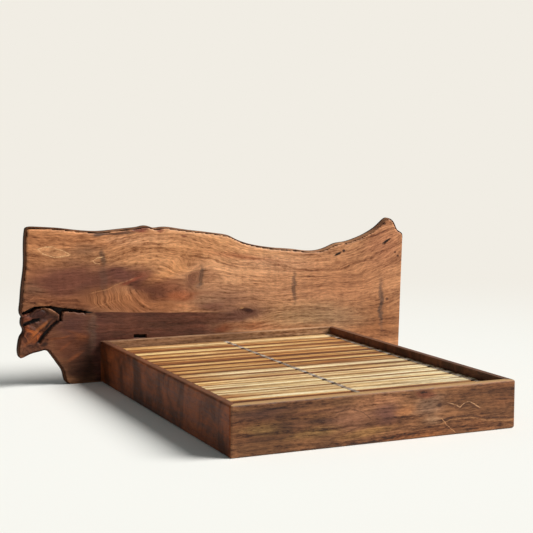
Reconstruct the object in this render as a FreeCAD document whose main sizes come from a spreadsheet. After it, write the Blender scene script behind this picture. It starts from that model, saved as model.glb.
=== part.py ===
import FreeCAD, Part
import math
import os
import Sketcher
from FreeCAD import Placement, Rotation, Vector

# Live edge bed: a low platform of mitred boards round a slatted deck, with one wide
# live-edge plank standing behind it as the headboard.
# Frame: +X to the right along the headboard, +Y from the foot towards the headboard, +Z up.
# The origin is on the floor, under the middle of the whole bed.
# Every size is in millimetres and is named once in this table.

SIZES = {
    # Platform boards
    "platform_width": 1640,
    "platform_length": 2125,
    "platform_offset": -12,
    "rail_height": 260,
    "rail_thickness": 45,
    "corner_radius": 15,
    "outer_arris": 13,
    "inner_arris": 3,
    # Headboard plank
    "slab_width": 2700,
    "slab_height": 990,
    "slab_thickness": 58,
    "front_wane": 14,
    "middle_wane": 4,
    "fissure_depth": 44,
    "slot_depth": 30,
    "slit_depth": 12,
    "burl_recess": 10,
    "burl_groove_depth": 26,
    # Slatted deck
    "mattress_recess": 45,
    "slat_width": 94,
    "slat_thickness": 20,
    "slat_gap": 19,
    "slat_arris": 3,
    "slat_end_gap": 6,
    "deck_end_gap": 8,
    "webbing_width": 25,
    "webbing_thickness": 1.5,
    "webbing_edge": 18,
    "webbing_end": 5,
    "staple_crown": 12,
    "staple_wire": 1,
    # Cleats and corner blocks
    "ledger_width": 40,
    "ledger_height": 40,
    "ledger_end_gap": 2,
    "block_size": 60,
    "block_lift": 15,
    "board_arris": 2,
    # Centre beam, its hangers and legs
    "beam_width": 45,
    "beam_height": 90,
    "beam_end_gap": 1,
    "hanger_plate": 3,
    "hanger_flange": 30,
    "hanger_height": 70,
    "hanger_depth": 45,
    "hanger_corner": 4,
    "hanger_side_gap": 0.5,
    "leg_size": 60,
    "glide_diameter": 36,
    "glide_thickness": 5,
    # Bolts, screws, washers and threaded inserts
    "bolt_diameter": 8,
    "bolt_head_width": 13,
    "bolt_head_height": 5.3,
    "washer_diameter": 24,
    "washer_thickness": 2,
    "insert_diameter": 12,
    "insert_length": 18,
    "slab_bite": 32,
    "rail_bite": 24,
    "screw_diameter": 5,
    "screw_head_diameter": 10,
    "screw_head_height": 3,
    "screw_bite": 20,
    "leg_bolt_bite": 30,
    "bore_clearance": 0.3,
    "tip_clearance": 4,
    "cut_overrun": 30,
}

# Numbers of pieces and the shares of a length at which they sit. Small round work is
# drawn with a few flats, to keep the model light.
HEX_FLAT_COUNT = 6
SMALL_FLAT_COUNT = 8
LARGE_FLAT_COUNT = 12
LEG_COUNT = 3
LEDGER_SCREW_COUNT = 7
BOLT_HEIGHT_SHARES = (0.40, 0.78)
SCREW_HEIGHT_SHARES = (0.25, 0.60)
HANGER_HOLE_SHARES = (0.28, 0.78)
HEADBOARD_COLUMN_SHARES = (-0.36, -0.14, 0.14, 0.36)
HEADBOARD_ROW_SHARES = (0.27, 0.65)

# The plank's outline as shares of its width and height, from the floor at the left,
# round the burl, up the left end and along the live top edge. Each table begins where
# the one before it ends, and a corner lies between them.
BURL_UNDERSIDE_SHARES = [
    (0.1194, 0.000), (0.1106, 0.012), (0.1067, 0.037), (0.1022, 0.086), (0.0943, 0.120),
    (0.0848, 0.159), (0.0753, 0.195), (0.0695, 0.214), (0.0615, 0.223), (0.0460, 0.216),
    (0.0324, 0.210), (0.0169, 0.192), (0.0062, 0.183),
]
BURL_END_SHARES = [
    (0.0062, 0.183), (0.0030, 0.190), (0.0000, 0.211), (0.0000, 0.253), (0.0021, 0.289),
    (0.0062, 0.322), (0.0122, 0.350), (0.0118, 0.366), (0.0083, 0.387), (0.0073, 0.408),
    (0.0100, 0.441),
]
LEFT_END_SHARES = [
    (0.0100, 0.441), (0.0060, 0.462), (0.0068, 0.518), (0.0095, 0.599), (0.0137, 0.683),
    (0.0172, 0.761), (0.0178, 0.850), (0.0193, 0.944), (0.0217, 0.988),
]
TOP_EDGE_SHARES = [
    (0.0217, 0.988), (0.0250, 0.995), (0.0310, 0.999), (0.0420, 0.999), (0.0676, 0.994),
    (0.101, 0.986), (0.135, 0.973), (0.164, 0.964), (0.191, 0.960), (0.227, 0.966),
    (0.277, 0.976), (0.288, 0.979), (0.301, 0.986), (0.314, 0.984), (0.327, 0.972),
    (0.344, 0.974), (0.396, 0.959), (0.459, 0.935), (0.491, 0.922), (0.520, 0.906),
    (0.536, 0.884), (0.555, 0.862), (0.609, 0.826), (0.651, 0.810), (0.693, 0.799),
    (0.722, 0.787), (0.746, 0.783), (0.766, 0.788), (0.789, 0.806), (0.809, 0.827),
    (0.835, 0.836), (0.860, 0.852), (0.886, 0.876), (0.906, 0.901), (0.924, 0.929),
    (0.937, 0.957), (0.948, 0.982), (0.958, 0.994), (0.967, 0.984), (0.977, 0.950),
    (0.985, 0.912), (0.992, 0.900), (0.998, 0.887), (1.000, 0.868), (1.000, 0.837),
]
RIGHT_FOOT_SHARE = 0.9884

# The natural openings in its front face, in the same shares
FISSURE_SHARES = [
    (-0.0100, 0.449), (0.0136, 0.474), (0.0366, 0.502), (0.0752, 0.504), (0.0986, 0.488),
    (0.1416, 0.471), (0.1642, 0.452), (0.1572, 0.444), (0.1296, 0.456), (0.1081, 0.462),
    (0.1031, 0.453), (0.1019, 0.404), (0.0960, 0.405), (0.0960, 0.444), (0.0886, 0.461),
    (0.0751, 0.486), (0.0598, 0.494), (0.0405, 0.486), (0.0269, 0.462), (-0.0100, 0.438),
]
BURL_FACE_SHARES = [
    (-0.0100, 0.443), (0.0260, 0.458), (0.0598, 0.490), (0.0900, 0.452), (0.0941, 0.402),
    (0.0782, 0.373), (0.0606, 0.324), (0.0468, 0.275), (0.0400, 0.200), (-0.0100, 0.150),
]
BURL_GROOVE_SHARES = [
    (0.1000, 0.408), (0.0905, 0.408), (0.0765, 0.380), (0.0585, 0.330), (0.0450, 0.280),
    (0.0490, 0.268), (0.0630, 0.318), (0.0800, 0.366), (0.0941, 0.396),
]
BURL_CLEFT_SHARES = [
    (-0.0100, 0.372), (0.0095, 0.376), (0.0300, 0.398), (0.0500, 0.412), (0.0495, 0.428),
    (0.0330, 0.424), (0.0180, 0.398), (-0.0100, 0.386),
]
SLOT_SHARES = [(0.273, 0.269), (0.305, 0.264), (0.305, 0.285), (0.273, 0.290)]
NOTCH_SHARES = [(0.775, 0.202), (0.792, 0.204), (0.790, 0.213), (0.776, 0.211)]
VALLEY_SLIT_SHARES = [(0.804, 0.745), (0.819, 0.754), (0.820, 0.760), (0.805, 0.751)]
HORN_SLIT_SHARES = [(0.942, 0.808), (0.944, 0.806), (0.964, 0.848), (0.962, 0.852)]

doc = FreeCAD.newDocument("live_edge_bed")
sheet = doc.addObject("Spreadsheet::Sheet", "sizes")
for row, (alias, number) in enumerate(SIZES.items(), 1):
    sheet.set("A%d" % row, alias)
    sheet.set("B%d" % row, str(number))
    sheet.setAlias("B%d" % row, alias)
doc.recompute()

# Lengths and places that several pieces share, as expressions on the sheet
INNER_WIDTH = "(sizes.platform_width - 2 * sizes.rail_thickness)"
INNER_LENGTH = "(sizes.platform_length - 2 * sizes.rail_thickness)"
FOOT_Y = "(-(sizes.platform_length + sizes.slab_thickness) / 2)"
HEAD_Y = "((sizes.platform_length - sizes.slab_thickness) / 2)"
INNER_FOOT_Y = "(%s + sizes.rail_thickness)" % FOOT_Y
INNER_HEAD_Y = "(%s - sizes.rail_thickness)" % HEAD_Y
INNER_LEFT_X = "(sizes.platform_offset - %s / 2)" % INNER_WIDTH
SLAT_BOTTOM = "(sizes.rail_height - sizes.mattress_recess - sizes.slat_thickness)"
SLAT_TOP = "(sizes.rail_height - sizes.mattress_recess)"
BEAM_BOTTOM = "(%s - sizes.beam_height)" % SLAT_BOTTOM
BEAM_LENGTH = "(%s - 2 * sizes.hanger_plate - 2 * sizes.beam_end_gap)" % INNER_LENGTH
BLOCK_HEIGHT = "(%s - sizes.block_lift)" % SLAT_BOTTOM
LEDGER_BOTTOM = "(%s - sizes.ledger_height)" % SLAT_BOTTOM
LEDGER_START = "(sizes.block_size + sizes.ledger_end_gap)"
LEDGER_LENGTH = "(%s - 2 * %s)" % (INNER_LENGTH, LEDGER_START)
BOLT_BORE = "(sizes.bolt_diameter + 2 * sizes.bore_clearance)"
SCREW_BORE = "(sizes.screw_diameter + 2 * sizes.bore_clearance)"
INSERT_BORE = "(sizes.insert_diameter + 2 * sizes.bore_clearance)"
SLAT_LENGTH = "(%s - 2 * sizes.slat_end_gap)" % INNER_WIDTH


def value(expression):
    """The number that an expression on the sheet gives now."""
    return float(sheet.evalExpression(expression))


def new_body(label):
    body = doc.addObject("PartDesign::Body", label)
    body.Label = label
    return body


def place(piece, x, y, z, turn=0):
    """Turn a piece about +Z and tie its place to the sheet."""
    piece.Placement = Placement(Vector(0, 0, 0), Rotation(Vector(0, 0, 1), turn))
    piece.setExpression(".Placement.Base.x", x)
    piece.setExpression(".Placement.Base.y", y)
    piece.setExpression(".Placement.Base.z", z)


def new_sketch(body, role, name, offset="0"):
    """A sketch on one of the body's own planes, moved along the plane's normal."""
    sketch = body.newObject("Sketcher::SketchObject", body.Name + "_" + name)
    plane = [feature for feature in body.Origin.OriginFeatures if feature.Role == role][0]
    sketch.AttachmentSupport = [(plane, "")]
    sketch.MapMode = "FlatFace"
    sketch.setExpression(".AttachmentOffset.Base.z", offset)
    return sketch


def tie(sketch, kind, element, expression):
    """Constrain one part of a sketch to an expression."""
    index = sketch.addConstraint(Sketcher.Constraint(kind, *element, value(expression)))
    sketch.setExpression("Constraints[%d]" % index, expression)


def draw_outline(sketch, corners, arcs=None):
    """Close an outline anticlockwise through corners; arcs holds the rounded spans."""
    arcs = arcs or {}
    points = [Vector(value(x), value(y), 0) for x, y in corners]
    for index, start in enumerate(points):
        end = points[(index + 1) % len(points)]
        if index in arcs:
            centre_x, centre_y, radius = arcs[index]
            centre = Vector(value(centre_x), value(centre_y), 0)
            circle = Part.Circle(centre, Vector(0, 0, 1), value(radius))
            span = Part.ArcOfCircle(circle, circle.parameter(start), circle.parameter(end))
            sketch.addGeometry(span, False)
        else:
            sketch.addGeometry(Part.LineSegment(start, end), False)
    for index, (x, y) in enumerate(corners):
        after = (index + 1) % len(corners)
        sketch.addConstraint(Sketcher.Constraint("Coincident", index, 2, after, 1))
        tie(sketch, "DistanceX", (-1, 1, index, 1), x)
        tie(sketch, "DistanceY", (-1, 1, index, 1), y)
    for index, (centre_x, centre_y, radius) in arcs.items():
        tie(sketch, "Radius", (index,), radius)


def draw_rectangle(sketch, left, low, right, high):
    draw_outline(sketch, [(left, low), (right, low), (right, high), (left, high)])


def pad(body, sketch, length, backwards=False):
    feature = body.newObject("PartDesign::Pad", sketch.Name + "_pad")
    feature.Profile = sketch
    feature.Reversed = backwards
    feature.setExpression("Length", length)
    doc.recompute()
    return feature


def bore(body, name, direction, mouths, diameter, depth):
    """Sink holes of one size from their mouths, all in one direction."""
    for index, (x, y, z) in enumerate(mouths, 1):
        hole = body.newObject(
            "PartDesign::SubtractivePrism", "%s_%s_%d" % (body.Name, name, index),
        )
        hole.Polygon = SMALL_FLAT_COUNT
        hole.Placement = Placement(Vector(0, 0, 0), Rotation(Vector(0, 0, 1), direction))
        hole.setExpression("Circumradius", "%s / 2" % diameter)
        hole.setExpression("Height", depth)
        hole.setExpression(".Placement.Base.x", x)
        hole.setExpression(".Placement.Base.y", y)
        hole.setExpression(".Placement.Base.z", z)
    doc.recompute()


def edge_names(feature, wanted):
    """The edges of a feature whose middle and box pass the test."""
    names = []
    for index, edge in enumerate(feature.Shape.Edges, 1):
        if wanted(edge.CenterOfMass, edge.BoundBox):
            names.append("Edge%d" % index)
    return names


def ease(body, feature, radius, wanted):
    """Round the wanted edges of a feature."""
    fillet = body.newObject("PartDesign::Fillet", feature.Name + "_eased")
    fillet.Base = (feature, edge_names(feature, wanted))
    fillet.setExpression("Radius", radius)
    doc.recompute()
    return fillet


def make_board(label, length_x, length_y, height, arris, along):
    """A plain board from its own corner, the four edges along one axis planed off."""
    body = new_body(label)
    sketch = new_sketch(body, "XY_Plane", "outline")
    draw_rectangle(sketch, "0", "0", length_x, length_y)
    block = pad(body, sketch, height)
    planed = body.newObject("PartDesign::Chamfer", block.Name + "_planed")
    planed.Base = (block, edge_names(block, lambda middle, box: runs_along(box, along)))
    planed.setExpression("Size", arris)
    doc.recompute()
    return body


def runs_along(box, axis):
    lengths = {"x": box.XLength, "y": box.YLength, "z": box.ZLength}
    longest = max(lengths.values())
    return lengths[axis] == longest


def mirrored(source, label, normal, x, y):
    """The same piece on the other side of the platform."""
    copy = doc.addObject("Part::Mirroring", label)
    copy.Label = label
    copy.Source = source
    copy.Normal = normal
    copy.setExpression(".Base.x", x)
    copy.setExpression(".Base.y", y)
    return copy


def polygon(diameter, height, flats):
    """A closed wire of equal flats across +Z, its corners on a circle."""
    radius = value(diameter) / 2
    corners = []
    for index in range(flats + 1):
        angle = 2 * math.pi * index / flats
        corner = Vector(radius * math.cos(angle), radius * math.sin(angle), value(height))
        corners.append(corner)
    return Part.makePolygon(corners)


def prism(diameter, start, length, flats):
    face = Part.Face(polygon(diameter, start, flats))
    return face.extrude(Vector(0, 0, value(length)))


def driven(solid, seat, direction):
    """A copy of a solid made along +Z, turned to a direction and moved to its seat."""
    copy = solid.copy()
    copy.Placement = Placement(seat, Rotation(Vector(0, 0, 1), direction))
    return copy


def group(label, solids):
    """Identical fasteners as one piece of several solids."""
    feature = doc.addObject("Part::Feature", label)
    feature.Label = label
    feature.Shape = Part.makeCompound(solids)
    return feature


TO_RIGHT = Vector(1, 0, 0)
TO_LEFT = Vector(-1, 0, 0)
TO_HEAD = Vector(0, 1, 0)
TO_FOOT = Vector(0, -1, 0)
UP = Vector(0, 0, 1)
DOWN = Vector(0, 0, -1)


# Platform boards
# Four flat boards on edge, mitred where they meet. The outside arrises are rounded
# all round, and the corners at the foot are rounded in plan.
def rail_is_outer(middle, box, across):
    flat = box.ZLength < value("sizes.inner_arris")
    return flat and across(middle) < value("sizes.corner_radius")


def rail_is_inner_top(middle, box, across):
    high = middle.z > value("sizes.rail_height - sizes.inner_arris")
    inside = across(middle) > value("sizes.rail_thickness - sizes.inner_arris")
    return high and inside


HALF_WIDTH = "(sizes.platform_width / 2)"
MITRE_TIP = "(sizes.corner_radius * (1 - sqrt(0.5)))"
BLOCK_MIDDLE = "(sizes.rail_thickness + sizes.block_size / 2)"
HANGER_BOTTOM = "(%s - sizes.hanger_plate)" % BEAM_BOTTOM
HANGER_HOLE_X = (
    "(sizes.beam_width / 2 + sizes.hanger_side_gap + sizes.hanger_plate"
    " + sizes.hanger_flange / 2)"
)
SCREW_DEPTH = "(sizes.screw_bite + sizes.tip_clearance)"
BOLT_DEPTH = "(sizes.rail_bite + sizes.tip_clearance)"


def block_heights(shares):
    return ["(sizes.block_lift + %s * %s)" % (share, BLOCK_HEIGHT) for share in shares]


def end_rail_screw_mouths():
    """Screws from the corner blocks and from a beam hanger into a foot or head rail."""
    inside = "sizes.rail_thickness"
    mouths = []
    for side in (-1, 1):
        x = "%d * (%s - %s)" % (side, HALF_WIDTH, BLOCK_MIDDLE)
        for height in block_heights(SCREW_HEIGHT_SHARES):
            mouths.append((x, inside, height))
        for share in HANGER_HOLE_SHARES:
            height = "%s + %s * sizes.hanger_height" % (HANGER_BOTTOM, share)
            mouths.append(("%d * %s" % (side, HANGER_HOLE_X), inside, height))
    return mouths


def headboard_bolt_centres():
    centres = []
    for column in HEADBOARD_COLUMN_SHARES:
        for row in HEADBOARD_ROW_SHARES:
            centres.append(
                ("%s * sizes.platform_width" % column, "%s * sizes.rail_height" % row)
            )
    return centres


def make_foot_rail():
    body = new_body("foot_rail")
    sketch = new_sketch(body, "XY_Plane", "outline")
    left = "-" + HALF_WIDTH
    corners = [
        ("%s + %s" % (left, MITRE_TIP), MITRE_TIP),
        ("%s + sizes.corner_radius" % left, "0"),
        ("%s - sizes.corner_radius" % HALF_WIDTH, "0"),
        ("%s - %s" % (HALF_WIDTH, MITRE_TIP), MITRE_TIP),
        ("%s - sizes.rail_thickness" % HALF_WIDTH, "sizes.rail_thickness"),
        ("%s + sizes.rail_thickness" % left, "sizes.rail_thickness"),
    ]
    radius = "sizes.corner_radius"
    arcs = {
        0: ("%s + sizes.corner_radius" % left, radius, radius),
        2: ("%s - sizes.corner_radius" % HALF_WIDTH, radius, radius),
    }
    draw_outline(sketch, corners, arcs)
    board = pad(body, sketch, "sizes.rail_height")
    eased = ease(
        body, board, "sizes.outer_arris",
        lambda middle, box: rail_is_outer(middle, box, lambda point: point.y),
    )
    ease(
        body, eased, "sizes.inner_arris",
        lambda middle, box: rail_is_inner_top(middle, box, lambda point: point.y),
    )
    bore(body, "screws", TO_FOOT, end_rail_screw_mouths(), SCREW_BORE, SCREW_DEPTH)
    place(body, "sizes.platform_offset", FOOT_Y, "0")
    return body


def make_head_rail():
    body = new_body("head_rail")
    sketch = new_sketch(body, "XY_Plane", "outline")
    left = "-" + HALF_WIDTH
    corners = [
        (left, "0"),
        (HALF_WIDTH, "0"),
        ("%s - sizes.rail_thickness" % HALF_WIDTH, "sizes.rail_thickness"),
        ("%s + sizes.rail_thickness" % left, "sizes.rail_thickness"),
    ]
    draw_outline(sketch, corners)
    board = pad(body, sketch, "sizes.rail_height")
    ease(
        body, board, "sizes.inner_arris",
        lambda middle, box: rail_is_inner_top(middle, box, lambda point: point.y),
    )
    bore(body, "screws", TO_FOOT, end_rail_screw_mouths(), SCREW_BORE, SCREW_DEPTH)
    mouths = [(x, "sizes.rail_thickness", z) for x, z in headboard_bolt_centres()]
    through = "sizes.rail_thickness + sizes.cut_overrun"
    bore(body, "bolts", TO_FOOT, mouths, BOLT_BORE, through)
    place(body, "sizes.platform_offset", HEAD_Y, "0", 180)
    return body


def ledger_screw_places():
    """Screw places along a ledger, measured from the inner face of the foot rail."""
    places = []
    for index in range(LEDGER_SCREW_COUNT):
        share = (index + 0.5) / LEDGER_SCREW_COUNT
        places.append("(%s + %s * %s)" % (LEDGER_START, share, LEDGER_LENGTH))
    return places


LEDGER_MIDDLE = "(%s + sizes.ledger_height / 2)" % LEDGER_BOTTOM


def make_left_side_rail():
    body = new_body("left_side_rail")
    sketch = new_sketch(body, "XY_Plane", "outline")
    corners = [
        ("0", "sizes.platform_length"),
        ("0", "sizes.corner_radius"),
        (MITRE_TIP, MITRE_TIP),
        ("sizes.rail_thickness", "sizes.rail_thickness"),
        ("sizes.rail_thickness", "sizes.platform_length - sizes.rail_thickness"),
    ]
    radius = "sizes.corner_radius"
    draw_outline(sketch, corners, {1: (radius, radius, radius)})
    board = pad(body, sketch, "sizes.rail_height")
    eased = ease(
        body, board, "sizes.outer_arris",
        lambda middle, box: rail_is_outer(middle, box, lambda point: point.x),
    )
    ease(
        body, eased, "sizes.inner_arris",
        lambda middle, box: rail_is_inner_top(middle, box, lambda point: point.x),
    )
    inside = "sizes.rail_thickness"
    screws = []
    for y in ledger_screw_places():
        screws.append((inside, "sizes.rail_thickness + %s" % y, LEDGER_MIDDLE))
    bore(body, "ledger_screws", TO_LEFT, screws, SCREW_BORE, SCREW_DEPTH)
    bolts = []
    for y in (BLOCK_MIDDLE, "sizes.platform_length - %s" % BLOCK_MIDDLE):
        for height in block_heights(BOLT_HEIGHT_SHARES):
            bolts.append((inside, y, height))
    bore(body, "corner_bolts", TO_LEFT, bolts, BOLT_BORE, BOLT_DEPTH)
    place(body, "sizes.platform_offset - %s" % HALF_WIDTH, FOOT_Y, "0")
    return body


# Headboard plank
# One board as wide as the tree gave it. The front face is smaller than the back,
# because the bark side wanes; the right end and the foot are sawn.
def live_edge_points():
    """The whole live edge, and where each of its tables ends."""
    tables = [BURL_UNDERSIDE_SHARES, BURL_END_SHARES, LEFT_END_SHARES, TOP_EDGE_SHARES]
    points = [tables[0][0]]
    corners = [0]
    for table in tables:
        points.extend(table[1:])
        corners.append(len(points) - 1)
    return [slab_point(x, z) for x, z in points], corners


def slab_point(x_share, z_share):
    width = value("sizes.slab_width")
    return Vector((x_share - 0.5) * width, 0, z_share * value("sizes.slab_height"))


def slab_section(y, wane):
    """The plank's outline at one depth, its live edge drawn in by the wane there."""
    points, corners = live_edge_points()
    foot = points[0] + Vector(wane, 0, 0)
    drawn = [Vector(foot.x, y, 0)]
    for before, point, after in zip(points, points[1:], points[2:]):
        along = after - before
        inward = Vector(along.z, 0, -along.x).normalize()
        moved = point + inward * wane
        drawn.append(Vector(moved.x, y, moved.z))
    drawn.append(Vector(points[-1].x, y, points[-1].z))
    edges = []
    for first, final in zip(corners, corners[1:]):
        curve = Part.BSplineCurve()
        curve.interpolate(drawn[first:final + 1])
        edges.append(curve.toShape())
    right_foot = slab_point(RIGHT_FOOT_SHARE, 0)
    right_foot.y = y
    edges.append(Part.LineSegment(drawn[-1], right_foot).toShape())
    edges.append(Part.LineSegment(right_foot, drawn[0]).toShape())
    return Part.Wire(edges)


def void_in_face(shares, y, depth):
    """A hollow cut straight back from the plank's front face."""
    overrun = value("sizes.cut_overrun")
    points = [slab_point(x, z) for x, z in shares]
    points.append(points[0])
    face = Part.Face(Part.makePolygon(points))
    face.translate(Vector(0, y - overrun, 0))
    return face.extrude(Vector(0, depth + overrun, 0))


def make_headboard_slab():
    front = value(HEAD_Y)
    thickness = value("sizes.slab_thickness")
    sections = [
        slab_section(front, value("sizes.front_wane")),
        slab_section(front + thickness / 3, value("sizes.middle_wane")),
        slab_section(front + thickness, 0),
    ]
    slab = Part.makeLoft(sections, True, True)
    tools = [
        void_in_face(FISSURE_SHARES, front, value("sizes.fissure_depth")),
        void_in_face(BURL_FACE_SHARES, front, value("sizes.burl_recess")),
        void_in_face(BURL_GROOVE_SHARES, front, value("sizes.burl_groove_depth")),
        void_in_face(BURL_CLEFT_SHARES, front, value("sizes.burl_groove_depth")),
        void_in_face(SLOT_SHARES, front, value("sizes.slot_depth")),
        void_in_face(NOTCH_SHARES, front, value("sizes.slit_depth")),
        void_in_face(VALLEY_SLIT_SHARES, front, value("sizes.slit_depth")),
        void_in_face(HORN_SLIT_SHARES, front, value("sizes.slit_depth")),
    ]
    insert = prism(INSERT_BORE, "0", "sizes.insert_length", LARGE_FLAT_COUNT)
    bolt = prism(BOLT_BORE, "0", "sizes.slab_bite + sizes.tip_clearance", SMALL_FLAT_COUNT)
    for x, z in headboard_bolt_centres():
        mouth = Vector(value("sizes.platform_offset + " + x), front, value(z))
        tools.append(driven(insert, mouth, TO_HEAD))
        tools.append(driven(bolt, mouth, TO_HEAD))
    feature = doc.addObject("Part::Feature", "headboard_slab")
    feature.Label = "headboard_slab"
    feature.Shape = slab.cut(tools)
    return feature


# Corner blocks and ledgers
# The blocks stand inside the corners and stop under the deck. Bolts draw the side
# rails up to them, and the ledgers between them carry the slat ends.
def make_front_left_block():
    body = make_board(
        "front_left_corner_block", "sizes.block_size", "sizes.block_size",
        BLOCK_HEIGHT, "sizes.board_arris", "z",
    )
    through = "sizes.block_size + sizes.cut_overrun"
    middle = "sizes.block_size / 2"
    bolts = []
    for share in BOLT_HEIGHT_SHARES:
        bolts.append(("sizes.block_size", middle, "%s * %s" % (share, BLOCK_HEIGHT)))
    bore(body, "bolts", TO_LEFT, bolts, BOLT_BORE, through)
    screws = []
    for share in SCREW_HEIGHT_SHARES:
        screws.append((middle, "sizes.block_size", "%s * %s" % (share, BLOCK_HEIGHT)))
    bore(body, "screws", TO_FOOT, screws, SCREW_BORE, through)
    place(body, INNER_LEFT_X, INNER_FOOT_Y, "sizes.block_lift")
    return body


def make_left_ledger():
    body = make_board(
        "left_ledger", "sizes.ledger_width", LEDGER_LENGTH, "sizes.ledger_height",
        "sizes.board_arris", "y",
    )
    mouths = []
    for y in ledger_screw_places():
        mouths.append(
            ("sizes.ledger_width", "%s - %s" % (y, LEDGER_START), "sizes.ledger_height / 2")
        )
    through = "sizes.ledger_width + sizes.cut_overrun"
    bore(body, "screws", TO_LEFT, mouths, SCREW_BORE, through)
    place(body, INNER_LEFT_X, "%s + %s" % (INNER_FOOT_Y, LEDGER_START), LEDGER_BOTTOM)
    return body


# Centre beam, hangers and legs
# The beam carries the middle of every slat. Its ends drop into bent steel hangers
# on the foot and head rails, and posts with glides hold it up between them.
def leg_places():
    """Leg places along the beam, measured from its foot end."""
    shares = [(index + 0.5) / LEG_COUNT for index in range(LEG_COUNT)]
    return ["(%s * %s)" % (share, BEAM_LENGTH) for share in shares]


BEAM_START = "(%s + sizes.hanger_plate + sizes.beam_end_gap)" % INNER_FOOT_Y
LEG_HEIGHT = "(%s - sizes.glide_thickness)" % BEAM_BOTTOM
LEG_BOLT_DEPTH = "(sizes.leg_bolt_bite + sizes.tip_clearance)"


def make_centre_beam():
    body = make_board(
        "centre_beam", "sizes.beam_width", BEAM_LENGTH, "sizes.beam_height",
        "sizes.board_arris", "y",
    )
    mouths = [("sizes.beam_width / 2", y, "0") for y in leg_places()]
    bore(body, "leg_bolts", UP, mouths, BOLT_BORE, LEG_BOLT_DEPTH)
    place(body, "sizes.platform_offset - sizes.beam_width / 2", BEAM_START, BEAM_BOTTOM)
    return body


def make_centre_leg(label, along):
    body = make_board(
        label, "sizes.leg_size", "sizes.leg_size", LEG_HEIGHT, "sizes.board_arris", "z",
    )
    mouth = ("sizes.leg_size / 2", "sizes.leg_size / 2", LEG_HEIGHT)
    bore(body, "bolt", DOWN, [mouth], BOLT_BORE, LEG_BOLT_DEPTH)
    place(
        body, "sizes.platform_offset - sizes.leg_size / 2",
        "%s + %s - sizes.leg_size / 2" % (BEAM_START, along), "sizes.glide_thickness",
    )
    return body


def make_beam_hanger(label, y, turn):
    """A bent steel stirrup: a screwed back plate and a U that the beam drops into."""
    body = new_body(label)
    inside = "(sizes.beam_width / 2 + sizes.hanger_side_gap)"
    outside = "(%s + sizes.hanger_plate)" % inside
    reach = "(%s + sizes.hanger_flange)" % outside
    back = new_sketch(body, "XZ_Plane", "back")
    draw_rectangle(back, "-" + reach, "0", reach, "sizes.hanger_height")
    plate = pad(body, back, "sizes.hanger_plate", True)
    ease(
        body, plate, "sizes.hanger_corner",
        lambda middle, box: box.XLength < box.YLength > box.ZLength,
    )
    stirrup = new_sketch(body, "XZ_Plane", "stirrup")
    corners = [
        ("-" + outside, "0"),
        (outside, "0"),
        (outside, "sizes.hanger_height"),
        (inside, "sizes.hanger_height"),
        (inside, "sizes.hanger_plate"),
        ("-" + inside, "sizes.hanger_plate"),
        ("-" + inside, "sizes.hanger_height"),
        ("-" + outside, "sizes.hanger_height"),
    ]
    draw_outline(stirrup, corners)
    pad(body, stirrup, "sizes.hanger_depth", True)
    mouths = []
    for side in (-1, 1):
        for share in HANGER_HOLE_SHARES:
            height = "%s * sizes.hanger_height" % share
            mouths.append(("%d * %s" % (side, HANGER_HOLE_X), "sizes.hanger_plate", height))
    through = "sizes.hanger_plate + sizes.cut_overrun"
    bore(body, "screws", TO_FOOT, mouths, SCREW_BORE, through)
    place(body, "sizes.platform_offset", y, HANGER_BOTTOM, turn)
    return body


# Slatted deck
# Thin slats with eased edges lie across the ledgers and the beam. Three tapes
# stapled along them keep the gaps, so the deck rolls up and lifts out in one piece.
def slat_count():
    room = value("%s - 2 * sizes.deck_end_gap + sizes.slat_gap" % INNER_LENGTH)
    return int(room / value("sizes.slat_width + sizes.slat_gap"))


DECK_LENGTH = "(%d * (sizes.slat_width + sizes.slat_gap) - sizes.slat_gap)" % slat_count()
DECK_START = "((%s + %s - %s) / 2)" % (INNER_FOOT_Y, INNER_HEAD_Y, DECK_LENGTH)


def slat_start(index):
    return "%s + %d * (sizes.slat_width + sizes.slat_gap)" % (DECK_START, index)


def make_slat(index):
    label = "slat_%02d" % (index + 1)
    body = make_board(
        label, SLAT_LENGTH, "sizes.slat_width", "sizes.slat_thickness",
        "sizes.slat_arris", "x",
    )
    place(body, "%s + sizes.slat_end_gap" % INNER_LEFT_X, slat_start(index), SLAT_BOTTOM)
    return body


WEBBING_SIDE = (
    "(%s / 2 - sizes.webbing_edge - sizes.webbing_width / 2)" % SLAT_LENGTH
)
WEBBINGS = {
    "webbing_left": "-" + WEBBING_SIDE,
    "webbing_centre": "0",
    "webbing_right": WEBBING_SIDE,
}


def make_webbing(label, middle):
    body = new_body(label)
    sketch = new_sketch(body, "XY_Plane", "outline")
    draw_rectangle(
        sketch, "-sizes.webbing_width / 2", "0", "sizes.webbing_width / 2",
        "%s - 2 * sizes.webbing_end" % DECK_LENGTH,
    )
    pad(body, sketch, "sizes.webbing_thickness")
    place(
        body, "sizes.platform_offset + %s" % middle,
        "%s + sizes.webbing_end" % DECK_START, SLAT_TOP,
    )
    return body


def make_staples():
    """The flat crown of one staple where each tape crosses each slat."""
    crown = value("sizes.staple_crown")
    wire = value("sizes.staple_wire")
    height = value("%s + sizes.webbing_thickness" % SLAT_TOP)
    solids = []
    for middle in WEBBINGS.values():
        x = value("sizes.platform_offset + %s" % middle)
        for index in range(slat_count()):
            y = value("%s + sizes.slat_width / 2" % slat_start(index))
            corner = Vector(x - crown / 2, y - wire / 2, height)
            solids.append(Part.makeBox(crown, wire, wire, corner))
    return group("webbing_staples", solids)


# Fasteners
# Each is made with its seat at the origin and its shank along +Z, then turned to
# the direction that it is driven in.
def bolt_shape(length):
    """A hexagon-head bolt."""
    corner_to_corner = "2 * sizes.bolt_head_width / sqrt(3)"
    head = prism(
        corner_to_corner, "-sizes.bolt_head_height", "sizes.bolt_head_height",
        HEX_FLAT_COUNT,
    )
    return head.fuse(prism("sizes.bolt_diameter", "0", length, SMALL_FLAT_COUNT))


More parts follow.
